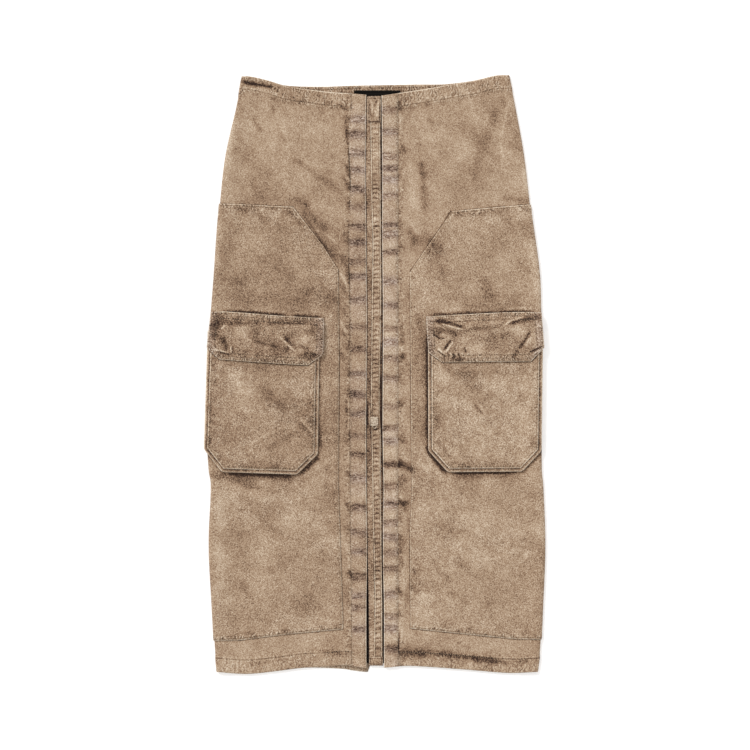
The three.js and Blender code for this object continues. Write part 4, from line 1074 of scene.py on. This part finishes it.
def centre_cloth(name, bounds, ends, counts, height, dress, wall, kind="Placket canvas"):
    """A strip of the closure between two edges that change along it."""
    left, right = bounds
    bottom, top = ends

    def place(share, v):
        rough_y = lerp(np.min(bottom(0 * v)), np.max(top(0 * v)), v)
        x = lerp(left(rough_y), right(rough_y), share)
        return x, lerp(bottom(x), top(x), v)

    def lift(x, y):
        share = (x - left(y)) / (right(y) - left(y))
        return x, y, height(x, y, share) + centre_lift(x, y)

    columns, rows = legs((0, 1, counts[0])), legs((0, 1, counts[1]))
    drape(name, cut_cloth(columns, rows, place), lift, dress, wall, kind)


def level(value):
    return lambda place: np.full_like(np.asarray(place, float), value)


def guard_edge(side):
    return lambda y: side * (opening(side, "edge", y) - opening(side, "slot", y))


def nearest_rung(side, x, y):
    """Distance up or down to the nearest drawn-in line of the ladder, which wanders a little."""
    wander = 3.2 * clouds(x, y, 13, 41 + side)
    rungs = np.array(RUNGS[side], float)
    away = (y + wander)[:, None] - rungs[None, :]
    index = np.argmin(np.abs(away), 1)
    return away[np.arange(len(y)), index], index


def placket(side):
    outer = lambda y: side * (opening(side, "stitch", y) + 0.28)
    folded = lambda y: side * opening(side, "edge", y)
    left, right = (outer, folded) if side < 0 else (folded, outer)

    def ladder(x, y):
        away, index = nearest_rung(side, x, y)
        depth = 0.55 + 0.45 * np.sin(index * 2.4 + side)
        crimp = np.cos(2 * np.pi * (away / 3.6 + 0.5 * clouds(x, y, 8, 43))) * bell(away, 6)
        return away, depth, crimp

    def height(x, y, share):
        away, depth, crimp = ladder(x, y)
        dome = 1 - (2 * share - 1) ** 4
        pad = 0.55 - bell(away + 2, 5) * (0.5 + 0.5 * depth)
        groove = -0.35 * depth * bell(away, 1.3)
        near = bell(away, 7)
        ruck = 0.16 * depth * crimp + 0.22 * clouds(x, y, 5, 44) + 0.7 * near * clouds(x * 0.3, y, 3.4, 47)
        seam = 0.6 * plateau(np.abs(x - outer(y)), 0, 4.5)
        return CENTRE_BOTTOM + PLACKET_CLOTH + dome * (pad + groove + ruck) - 0.35 * (1 - dome) - seam

    def dress(x, y):
        away, depth, crimp = ladder(x, y)
        band = bell(away + 3.5, 5.5)
        seams = (
            Seam(np.abs(x - folded(y)), y, PLACKET_ROWS["folded"], 5.2, 3, 0.4, wear=1.5, sink=0.3),
            Seam(np.abs(x - outer(y)), y, PLACKET_ROWS["sewn"], 5.2, 4, 0.6, wear=0.2, sink=0.08),
        )
        patches = smooth(clouds(x, y, 22, 45) * 2 + 0.5)
        line = bell(away, 0.95) * smooth(clouds(x, y, 7, 48) * 2 + 0.9)
        dye = (0.14 + 0.2 * depth) * band - 0.06 * depth * crimp + (0.12 + 0.28 * depth) * line - 0.14
        result = stains_and_shade(SKIRT_MARKS, x, y, mauve=np.clip(band * (0.5 + 0.4 * patches) + 0.3 * patches, 0, 1))
        result["dye"] = result["dye"] * 0.7 + dye + 0.14 * clouds(x, y, 12, 46) + 0.04 - 0.03 * side
        result.update(sewn(x, seams))
        result["crimp"] = np.clip(bell(away + 3.5, 6) * (0.4 + 0.7 * patches) + 0.15, 0, 1.1)
        return result

    ends = (lambda x: curve(FRONT_HEM, x), lambda x: curve(FRONT_WAIST, x))
    name = f"placket_{SIDES_OF[side]}_canvas"
    centre_cloth(name, (left, right), ends, (20, 640), height, dress, PLACKET_CLOTH)


def zip_tape():
    def height(x, y, share):
        return np.full_like(x, TAPE_BOTTOM + THIN_CLOTH)

    bounds, ends = (level(TAPE["left"]), level(TAPE["right"])), (level(TAPE["bottom"]), level(TAPE["top"]))
    centre_cloth("zip_tape_cloth", bounds, ends, (8, 140), height, plain_dress, THIN_CLOTH,
                 "Black tape")


def zip_guard():
    left, right = guard_edge(-1), guard_edge(1)

    def height(x, y, share):
        drop = 0.3 * plateau(np.minimum(x - left(y), right(y) - x), 0.1, 1)
        relief = 0.08 * clouds(x, y, 5, 51) + 0.5 * marks(CENTRE_MARKS, x, y, RISE)
        return CENTRE_BOTTOM + CLOTH - drop + relief

    def dress(x, y):
        seams = (
            Seam(x - left(y), y, 9, 5, 4, 0.4, wear=0),
            Seam(right(y) - x, y, 9, 5, 4, 0.3, wear=0),
        )
        result = stains_and_shade(CENTRE_MARKS, x, y)
        result["dye"] += 0.1 + 0.3 * clouds(x, y, 14, 52) + 0.14 * bell(y + 40, 110)
        result.update(sewn(x, seams))
        beside = np.minimum(np.abs(x - curve(GUARD_STRIP, y, 1)), np.abs(x - curve(GUARD_STRIP, y, 2)))
        # Painted shade beside the guard strip and in the slots along the guard's edges.
        result["under"] = np.minimum(np.minimum(beside + 0.5, x - left(y) + 0.4), (right(y) - x) * 0.7)
        result["crimp"] = np.full_like(x, 0.16)
        return result

    ends = (level(GUARD["bottom"]), level(GUARD["top"]))
    centre_cloth("zip_guard_canvas", (left, right), ends, (16, 440), height, dress, CLOTH)


def guard_strip():
    left = lambda y: curve(GUARD_STRIP, y, 1)
    right = lambda y: curve(GUARD_STRIP, y, 2)
    bottom, top = BOTTOM_TAB_TOP + SEAM_GAP, TOP_TAB["bottom"] - SEAM_GAP

    def rings(x, y):
        share = (x - left(y)) / (right(y) - left(y))
        bow = 1.5 * (2 * share - 1) ** 2 + 4 * clouds(x, y, 16, 61) + 2.5 * clouds(x, y, 5, 64)
        return np.cos(2 * np.pi * (y + bow) / PUCKER_PITCH), share

    def height(x, y, share):
        ring, share = rings(x, y)
        dome = 1 - (2 * share - 1) ** 4
        relief = 0.3 * ring - 0.2 + 0.5 * marks(CENTRE_MARKS, x, y, RISE)
        return STRIP_BOTTOM + CLOTH + dome * relief - 0.3 * (1 - dome)

    def dress(x, y):
        ring, share = rings(x, y)
        seams = (
            Seam(x - left(y), y, 1.8, 3.3, 1.5, 0.3, wear=1.0, sink=0.8),
            Seam(right(y) - x, y, 1.8, 3.3, 1.5, 0.3, wear=0.8, sink=0.8),
        )
        result = stains_and_shade(CENTRE_MARKS, x, y)
        strength = smooth(clouds(x * 0, y, 26, 62) * 2 + 0.6)
        comma = ((1 - ring) / 2) ** 2 * plateau(np.abs(share - 0.45), 0.2, 0.3)
        result["dye"] += 0.55 * comma * lerp(0.5, 1, strength) - 0.08 + 0.24 * clouds(x * 0, y, 30, 63)
        result["dye"] += 0.3 * clouds(x, y, 4, 65)
        return {**result, **sewn(x, seams)}

    ends = (level(bottom), level(top))
    bounds = (left, right)
    centre_cloth("guard_strip_canvas", bounds, ends, (12, 700), height, dress, CLOTH)


def guard_tabs():
    def dress_between(left, right, bottom, top):
        def dress(x, y):
            rows = ((x - left(y), y, 0.4), (right(y) - x, y, 0.4), (y - bottom, x, 0.5), (top - y, x, 0.5))
            seams = [Seam(distance, run, 1.6, 4, 3, strength) for distance, run, strength in rows]
            result = stains_and_shade(CENTRE_MARKS, x, y)
            result["dye"] += 0.04 + 0.3 * clouds(x, y, 9, 71)
            return {**result, **sewn(x, seams)}

        return dress

    def height_between(left, right, bottom, top):
        def height(x, y, share):
            edge = np.minimum(np.minimum(x - left(y), right(y) - x), np.minimum(y - bottom, top - y))
            wrinkle = 0.35 * clouds(x, y, 5, 72) + marks(CENTRE_MARKS, x, y, RISE)
            return STRIP_BOTTOM + TAB_CLOTH - 0.35 * plateau(edge, 0.1, 1) + wrinkle

        return height

    top = (level(TOP_TAB["left"]), level(TOP_TAB["right"]), TOP_TAB["bottom"], TOP_TAB["top"])
    bottom = (lambda y: guard_edge(-1)(y) + TAB_INSET, lambda y: guard_edge(1)(y) - TAB_INSET,
              GUARD["bottom"] + TAB_INSET, BOTTOM_TAB_TOP)
    for name, tab, counts in (("top", top, (18, 36)), ("bottom", bottom, (18, 12))):
        centre_cloth(f"guard_{name}_tab_canvas", tab[:2], (level(tab[2]), level(tab[3])), counts,
                     height_between(*tab), dress_between(*tab), TAB_CLOTH)


def zip_slider():
    """Body, bridge and the short tab of the slider, in one casting."""
    base = STRIP_BOTTOM + CLOTH + SEAM_GAP
    bm = bmesh.new()

    def block(x, y, z, width, length, height):
        made = bmesh.ops.create_cube(bm, size=1, matrix=Matrix.Translation((x, y, z)) @ Matrix.Diagonal(
            (width, length, height, 1)))
        edges = {edge for vert in made["verts"] for edge in vert.link_edges}
        bmesh.ops.bevel(bm, geom=list(edges), offset=min(width, length, height) * 0.3, offset_type="OFFSET",
                        segments=3, profile=0.5, affect="EDGES", material=-1)

    x, y = SLIDER["x"], SLIDER["y"]
    block(x, y, base + 0.7, SLIDER["width"], SLIDER["length"], 1.4)
    block(x - 0.6, y + 0.8, base + 1.7, 2.6, 9.6, 0.9)
    upright_ring = Matrix.Translation((2.5, 0, 0)) @ Matrix.Rotation(math.pi / 2, 4, "X")
    ring = bmesh.ops.create_circle(bm, segments=8, radius=0.75, matrix=upright_ring)
    before = set(bm.verts) - set(ring["verts"])
    edges = list({edge for vert in ring["verts"] for edge in vert.link_edges})
    bmesh.ops.spin(bm, geom=ring["verts"] + edges, cent=(0, 0, 0), axis=(0, 0, 1), dvec=(0, 0, 0),
                   angle=2 * math.pi, steps=24, use_merge=True)
    turned = [vert for vert in bm.verts if vert not in before]
    bmesh.ops.transform(bm, matrix=Matrix.Translation((x + 0.4, y - SLIDER["length"] / 2 - 0.9, base + 0.85)),
                        verts=turned)
    bmesh.ops.recalc_face_normals(bm, faces=bm.faces[:])
    bmesh.ops.scale(bm, vec=(MM, MM, MM), verts=bm.verts[:])
    name = "zip_slider_metal"
    add_piece(name, new_mesh(name, bm), "Dyed metal", own_node(name))


def moved_inside(path, side, distance):
    """The same path moved towards the middle of its pocket, with its corners mitred."""
    points = np.asarray(path, float)
    steps = np.diff(points, axis=0)
    normals = side * np.stack([-steps[:, 1], steps[:, 0]], 1) / np.linalg.norm(steps, axis=1)[:, None]
    before = normals[np.maximum(np.arange(len(points)) - 1, 0)]
    after = normals[np.minimum(np.arange(len(points)), len(normals) - 1)]
    share = distance / (1 + (before * after).sum(1))
    return points + (before + after) * share[:, None]


def run_along(points):
    return np.concatenate([[0], np.cumsum(np.linalg.norm(np.diff(points, axis=0), axis=1))])


def rounded_path(corners):
    """Points about every 2 mm along a path, with its corners eased."""
    fine = []
    for start, end in zip(corners, corners[1:]):
        count = max(int(np.linalg.norm(end - start) / 2), 2)
        fine.extend(lerp(start, end, i / count) for i in range(count))
    fine = np.array([*fine, corners[-1]])
    for _ in range(2):
        fine[1:-1] = (fine[:-2] + 2 * fine[1:-1] + fine[2:]) / 4
    return fine


def bellows_section():
    """Inset and rise of the folded strip, from its edge below over the fold to its edge below the face."""
    radius = GUSSET_HEIGHT / 2
    turns = np.radians(np.linspace(-90, 90, 9))
    below = [(GUSSET_WIDTH, 0.0), (GUSSET_WIDTH / 2, 0.0)]
    fold = [(radius - radius * math.cos(turn), radius + radius * math.sin(turn)) for turn in turns]
    above = [(3.0, GUSSET_HEIGHT), (5.0, GUSSET_HEIGHT), (GUSSET_WIDTH - 1, GUSSET_HEIGHT)]
    return np.array(below + fold + above)


def gusset(side):
    """The bellows of a pocket: cloth folded once round the outside, seen as a rim below the face."""
    fine = rounded_path(np.asarray(POCKET[side], float))
    steps = np.gradient(fine, axis=0)
    inward = side * np.stack([-steps[:, 1], steps[:, 0]], 1) / np.linalg.norm(steps, axis=1)[:, None]
    run = run_along(fine)
    profile = bellows_section()
    width = run_along(profile)

    def place(share, v):
        return share, v

    def lift(across, along):
        inset, rise = np.interp(across, width, profile[:, 0]), np.interp(across, width, profile[:, 1])
        x = np.interp(along, run, fine[:, 0]) + inset * np.interp(along, run, inward[:, 0])
        y = np.interp(along, run, fine[:, 1]) + inset * np.interp(along, run, inward[:, 1])
        ripple = 0.2 * np.cos(2 * np.pi * along / 13) * plateau(np.abs(inset - 2), 2, 2)
        return x, y, overlay_top(x, y) + POCKET_GAP + rise + ripple * (rise > GUSSET_HEIGHT / 2)

    def dress(across, along):
        inset = np.interp(across, width, profile[:, 0])
        seams = (Seam(inset + 0.3, along, 9, 5, 4, 0.3, wear=1.6),)
        result = stains_and_shade((), across, along)
        # Darker in patches, with painted shade in the valley between the face's edge and the folded rim.
        result["dye"] += 0.1 + 0.3 * clouds(along, across, 18, 81 + side) + 0.25 * bell(inset - 2.5, 0.9)
        result.update(sewn(across, seams))
        # Painted shade just below the edge of the face.
        result["under"] = np.abs(inset - GUSSET_PEEK) + 9 * (across < width[-1] / 2)
        return result

    name = SIDES_OF[side]
    nodes = [f"gusset_{name}_{part}" for part in ("inner", "bottom", "outer")]
    drape(f"gusset_{name}_canvas", cut_cloth(width, run, place), lift, dress, GUSSET_CLOTH, "Canvas",
          nodes, flipped=side < 0)


def pocket_face(side):
    cut = moved_inside(POCKET[side], side, GUSSET_PEEK)
    inner_top, inner_low, low_inner, low_outer, outer_low, outer_top = cut
    wrinkles = FACE_WRINKLES[side]

    def place(share, v):
        y = lerp(-142.0, float(POCKET_TOP), v)
        inner = lerp(inner_low[0], inner_top[0], (y - inner_low[1]) / (inner_top[1] - inner_low[1]))
        outer = lerp(outer_low[0], outer_top[0], (y - outer_low[1]) / (outer_top[1] - outer_low[1]))
        x = lerp(inner, outer, share)
        bottom = lerp(low_inner[1], low_outer[1], (x - low_inner[0]) / (low_outer[0] - low_inner[0]))
        return x, lerp(bottom, float(POCKET_TOP), v)

    def lift(x, y):
        across = plateau(np.abs(np.abs(x) - FACE_SAG["x"]), FACE_SAG["half_width"], FACE_SAG["ramp"])
        along = plateau(np.abs(y - FACE_SAG["y"]), FACE_SAG["half_length"], FACE_SAG["ramp"])
        distance = away_from(x, y, cut)
        sag = FACE_SAG["depth"] * across * along
        bottom = overlay_top(x, y) + POCKET_GAP + GUSSET_HEIGHT + SEAM_GAP - sag
        shape = folds(wrinkles, x, y) + marks(POCKET_MARKS, x, y, RISE) - 0.35 * plateau(distance, 0.1, 1.6)
        return x, y, bottom + shape + CLOTH

    def dress(x, y):
        distance, run = along_path(x, y, cut)
        seams = (Seam(distance, run, FACE_ROW, 5.6, 7, 0.5, wear=1.5, sink=0.5),)
        result = stains_and_shade(POCKET_MARKS, x, y, fleck=smooth(0.7 + clouds(x, y, 50, 82)))
        result["dye"] += 0.14 * bell(distance - 7, 4) * smooth(clouds(x, y, 9, 83) * 3 + 0.3) + 0.03
        result.update(sewn(x, seams))
        # Painted shade just below the flap's edge.
        result["under"] = away_from(x, y, FLAP[side]["edge"])
        return result

    name = SIDES_OF[side]
    cuts = ((inner_low, low_inner), (low_outer, outer_low))
    drape(f"pocket_face_{name}_canvas", cut_cloth(legs((0, 1, 76)), legs((0, 1, 98)), place, cuts), lift,
          dress, CLOTH, "Worn canvas")


def flap(side):
    cut = FLAP[side]

    def place(share, v):
        y = lerp(12.0, 88.0, v)
        x = lerp(straight(cut["inner"], y), straight(cut["outer"], y), share)
        return x, lerp(straight(cut["bottom"], x), curve(cut["top"], x), v)

    def lift(x, y):
        hang = smooth((curve(cut["top"], x) - y) / FLAP_DROP)
        over_pocket = POCKET_GAP + GUSSET_HEIGHT + SEAM_GAP + CLOTH + SEAM_GAP
        wrinkle = folds(FLAP_WRINKLES[side], x, y) + folds(FACE_WRINKLES[side], x, y)
        wrinkle = wrinkle + marks(FLAP_MARKS, x, y, RISE) + 0.3 * (clouds(x, y, 7, 91) + 0.5)
        distance = away_from(x, y, cut["edge"])
        bottom = overlay_top(x, y) + lerp(POCKET_GAP, over_pocket, hang) + wrinkle * hang
        margin = 0.25 * plateau(np.abs(distance - 5), 2, 3)
        return x, y, bottom + FLAP_CLOTH - 0.45 * plateau(distance, 0.1, 1.6) + margin

    def dress(x, y):
        distance, run = along_path(x, y, cut["edge"])
        seams = (
            Seam(distance, run, FLAP_ROWS["margin"], 4.4, 3, 0.45, wear=1.7, sink=0.7),
            Seam(distance, run, FLAP_ROWS["rim"], 3.8, 6, 1.1, wear=1.7, sink=0.3),
        )
        ends = smooth((np.abs(np.abs(x) - 153) - 60) / 16)
        wrinkle = folds(FLAP_WRINKLES[side], x, y)
        result = stains_and_shade(FLAP_MARKS, x, y, mauve=0.5 * ends * plateau(distance, 7, 8))
        result["dye"] += 0.1 + 0.3 * clouds(x, y, 10, 92) - 0.08 * wrinkle
        return {**result, **sewn(x, seams)}

    name = SIDES_OF[side]
    cloth = cut_cloth(legs((0, 1, 172)), legs((0, 1, 80)), place, cut["cuts"])
    drape(f"flap_{name}_canvas", cloth, lift, dress, FLAP_CLOTH, "Flap canvas")


def surface_under(piece):
    """Height of the piece's upper side at points in mm, by looking straight down at it."""
    def height(x, y):
        hit, place, _, _ = piece.ray_cast(Vector((x * MM, y * MM, 0.1)), Vector((0, 0, -1)))
        return place.z / MM if hit else None

    return height


def even_steps(path, pitch):
    """Places every pitch along a path, each with the way that the path runs there."""
    places = []
    left_over = pitch / 2
    for start, end in zip(path, path[1:]):
        start, end = Vector(start), Vector(end)
        length = (end - start).length
        at = left_over
        while at < length:
            places.append((start.lerp(end, at / length), (end - start) / length))
            at += pitch
        left_over = at - length
    return places


def stitch_rows(name, piece_name, paths, finer=1.0):
    """Rows of short stitches, pressed into the piece that they hold."""
    cloth = bpy.context.scene.skirt_cloth
    pitch, length = cloth.stitch_pitch / MM * finer, cloth.stitch_length / MM * finer
    height = surface_under(bpy.data.objects[piece_name])
    bm = bmesh.new()
    for path in paths:
        for place, run in even_steps(path, pitch):
            z = height(place.x, place.y)
            if z is None:
                continue
            turn = Matrix.Rotation(math.atan2(run.y, run.x), 4, "Z")
            shape = Matrix.Diagonal((length / 2, THREAD["half_width"], THREAD["half_height"], 1))
            at = Matrix.Translation((place.x, place.y, z + THREAD["rise"]))
            bmesh.ops.create_icosphere(bm, subdivisions=1, radius=1, matrix=at @ turn @ shape)
    bmesh.ops.scale(bm, vec=(MM, MM, MM), verts=bm.verts[:])
    add_piece(name, new_mesh(name, bm), "Thread")


def sampled(x_start, x_end, read, step=12):
    count = max(int(abs(x_end - x_start) / step), 1)
    return [(x, float(read(x))) for x in np.linspace(x_start, x_end, count + 1)]


def upright(y_start, y_end, read, step=16):
    return [(x, y) for y, x in sampled(y_start, y_end, read, step)]


def sew(piece, *paths, finer=1.0):
    short = piece.replace("_face", "")
    stitch_rows(f"stitching_{short}", f"{piece}_canvas", paths, finer)


def loop_inside(path, side, distance):
    inside = moved_inside(path[:-1], side, distance)
    return [*inside, inside[0]]


def sew_side(side):
    name, inner = SIDES_OF[side], side * 36
    sew(f"front_{name}", sampled(inner, side * 180, lambda x: curve(FRONT_WAIST, x) - WAIST_ROW),
        sampled(inner, side * 214, lambda x: curve(FRONT_HEM, x) + HEM_ROW))
    sew(f"overlay_{name}", moved_inside(OVERLAY[side]["edge"], side, OVERLAY_ROW))
    sew(f"pocket_face_{name}", moved_inside(POCKET[side], side, GUSSET_PEEK + FACE_ROW))
    sew(f"flap_{name}", *(loop_inside(FLAP[side]["edge"], side, row) for row in FLAP_ROWS.values()))
    folded = upright(-405, 389, lambda y: side * (opening(side, "edge", y) + PLACKET_ROWS["folded"]))
    sewn_edge = upright(-405, 389, lambda y: side * (opening(side, "stitch", y) - PLACKET_ROWS["sewn"]))
    sew(f"placket_{name}", folded, sewn_edge)


def sew_all():
    for side in SIDES_OF:
        sew_side(side)
    sew("guard_strip", upright(-392, 351, lambda y: curve(GUARD_STRIP, y, 1) + STRIP_ROW),
        upright(-392, 351, lambda y: curve(GUARD_STRIP, y, 2) - STRIP_ROW), finer=0.85)


def lay_floor(settings):
    bm = bmesh.new()
    bmesh.ops.create_grid(bm, x_segments=1, y_segments=1, size=FLOOR_HALF)
    bmesh.ops.translate(bm, vec=(0, 0, -FLOOR_DROP), verts=bm.verts[:])
    floor = new_object("floor", new_mesh("floor", bm))
    paper, shader, make = new_finish("Pale floor")
    make.fill(shader, {
        "Base Color": (*settings.floor_colour, 1), "Roughness": 0.9, "Specular IOR Level": 0.1,
        "Emission Color": (1, 1, 1, 1), "Emission Strength": settings.floor_glow,
    })
    floor.data.materials.append(paper)


def set_lights(settings):
    world = bpy.data.worlds.new("Soft studio")
    world.use_nodes = True
    background = world.node_tree.nodes["Background"]
    background.inputs["Color"].default_value = (1, 0.995, 0.985, 1)
    background.inputs["Strength"].default_value = settings.fill
    bpy.context.scene.world = world
    for name, place, spread, share in LIGHTS:
        light = bpy.data.lights.new(name, "SUN")
        light.energy = settings.key * share
        light.angle = math.radians(spread)
        lamp = new_object(name, light)
        lamp.location = place
        lamp.rotation_euler = Vector(place).to_track_quat("Z", "Y").to_euler()


def set_camera(settings):
    data = bpy.data.cameras.new("Overhead camera")
    data.type = "ORTHO"
    data.ortho_scale = settings.view_width
    camera = new_object("Overhead camera", data)
    camera.location = CAMERA_PLACE
    bpy.context.scene.camera = camera
    bpy.context.scene.view_settings.view_transform = "Standard"


def set_stage(settings):
    lay_floor(settings)
    set_lights(settings)
    set_camera(settings)


def colour_property(label, about, default):
    return bpy.props.FloatVectorProperty(
        name=label, description=about, default=default, size=3, min=0, max=2, subtype="COLOR",
    )


def number_property(label, about, default, low=0, **unit):
    return bpy.props.FloatProperty(name=label, description=about, default=default, min=low, **unit)


class SkirtClothSettings(bpy.types.PropertyGroup):
    # The darkest colours serve the deepest dye stains and the painted shade and shadows alike.
    deep_colour: colour_property("Deepest dye and shade", "Colour of deep creases", screen_colour(50, 34, 26)[:3])
    shade_colour: colour_property("Dark dye", "Colour of the darker clouds", screen_colour(141, 113, 90)[:3])
    cloth_colour: colour_property("Cloth", "Main colour of the canvas", screen_colour(172, 147, 122)[:3])
    worn_colour: colour_property("Worn edges", "Colour of rubbed edges", screen_colour(220, 203, 181)[:3])
    mauve_tint: colour_property("Mauve", "Tint of the drawn-in lines", (0.98, 1.0, 1.13))
    thread_colour: colour_property("Thread", "Colour of the stitches", screen_colour(186, 163, 136)[:3])
    stitch_length: number_property(
        "Stitch length", "Length of one stitch that shows", 0.0023, low=0.0005, unit="LENGTH")
    stitch_pitch: number_property(
        "Stitch pitch", "Way from one stitch to the next", 0.0033, low=0.001, unit="LENGTH")


class SkirtStageSettings(bpy.types.PropertyGroup):
    floor_colour: colour_property("Floor", "Colour of the paper under the skirt", (0.9, 0.9, 0.9))
    floor_glow: number_property("Floor glow", "Light of the table under the skirt, as of a light table", 0.3)
    key: number_property("Key light", "Strength of the light from the upper left", 1.9)
    fill: number_property("Fill", "Strength of the light from all round", 0.62)
    view_width: number_property("View width", "Width that the camera sees", 1.05, low=0.1, unit="LENGTH")


def operator(step, label, run):
    """An operator for one piece, or one group of like pieces."""
    def execute(self, context):
        run(context)
        return {"FINISHED"}

    kind = type(f"SKIRT_OT_{step}", (bpy.types.Operator,), {
        "bl_idname": f"skirt.{step}", "bl_label": label, "__doc__": label, "execute": execute,
    })
    OPERATORS.append((step, kind))


def both(make_piece):
    def run(context):
        for side in SIDES_OF:
            make_piece(side)

    return run


operator("back_panels", "Back panels", both(back_panel))
operator("waist_facing", "Waist facing and label", lambda context: (waist_facing(), bare_label()))
operator("front_panels", "Front panels", both(front_panel))
operator("double_fronts", "Double fronts", both(double_front))
operator("closure", "Closure",
         lambda context: (zip_tape(), zip_guard(), guard_strip(), guard_tabs(), zip_slider()))
operator("plackets", "Plackets", both(placket))
operator("gussets", "Pocket bellows", both(gusset))
operator("pocket_faces", "Pocket faces", both(pocket_face))
operator("flaps", "Pocket flaps", both(flap))
operator("stitching", "Stitching", lambda context: sew_all())
operator("stage", "Floor, light and camera", lambda context: set_stage(context.scene.skirt_stage))


class SKIRT_PT_steps(bpy.types.Panel):
    bl_label = "Skirt"
    bl_idname = "SKIRT_PT_steps"
    bl_space_type = "VIEW_3D"
    bl_region_type = "UI"
    bl_category = "Skirt"

    def draw(self, context):
        for step, _ in OPERATORS:
            self.layout.operator(f"skirt.{step}")
        for settings in (context.scene.skirt_cloth, context.scene.skirt_stage):
            for key in settings.bl_rna.properties.keys():
                if key not in ("rna_type", "name"):
                    self.layout.prop(settings, key)


def register():
    bpy.utils.register_class(SkirtClothSettings)
    bpy.utils.register_class(SkirtStageSettings)
    for _, kind in OPERATORS:
        bpy.utils.register_class(kind)
    bpy.utils.register_class(SKIRT_PT_steps)
    bpy.types.Scene.skirt_cloth = bpy.props.PointerProperty(type=SkirtClothSettings)
    bpy.types.Scene.skirt_stage = bpy.props.PointerProperty(type=SkirtStageSettings)


def unregister():
    del bpy.types.Scene.skirt_stage
    del bpy.types.Scene.skirt_cloth
    bpy.utils.unregister_class(SKIRT_PT_steps)
    for _, kind in reversed(OPERATORS):
        bpy.utils.unregister_class(kind)
    bpy.utils.unregister_class(SkirtStageSettings)
    bpy.utils.unregister_class(SkirtClothSettings)


def corners(box):
    return [list(corner) for corner in box]


def main():
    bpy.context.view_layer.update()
    register()
    for step, _ in OPERATORS:
        getattr(bpy.ops.skirt, step)()
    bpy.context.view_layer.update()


if __name__ == "__main__":
    main()
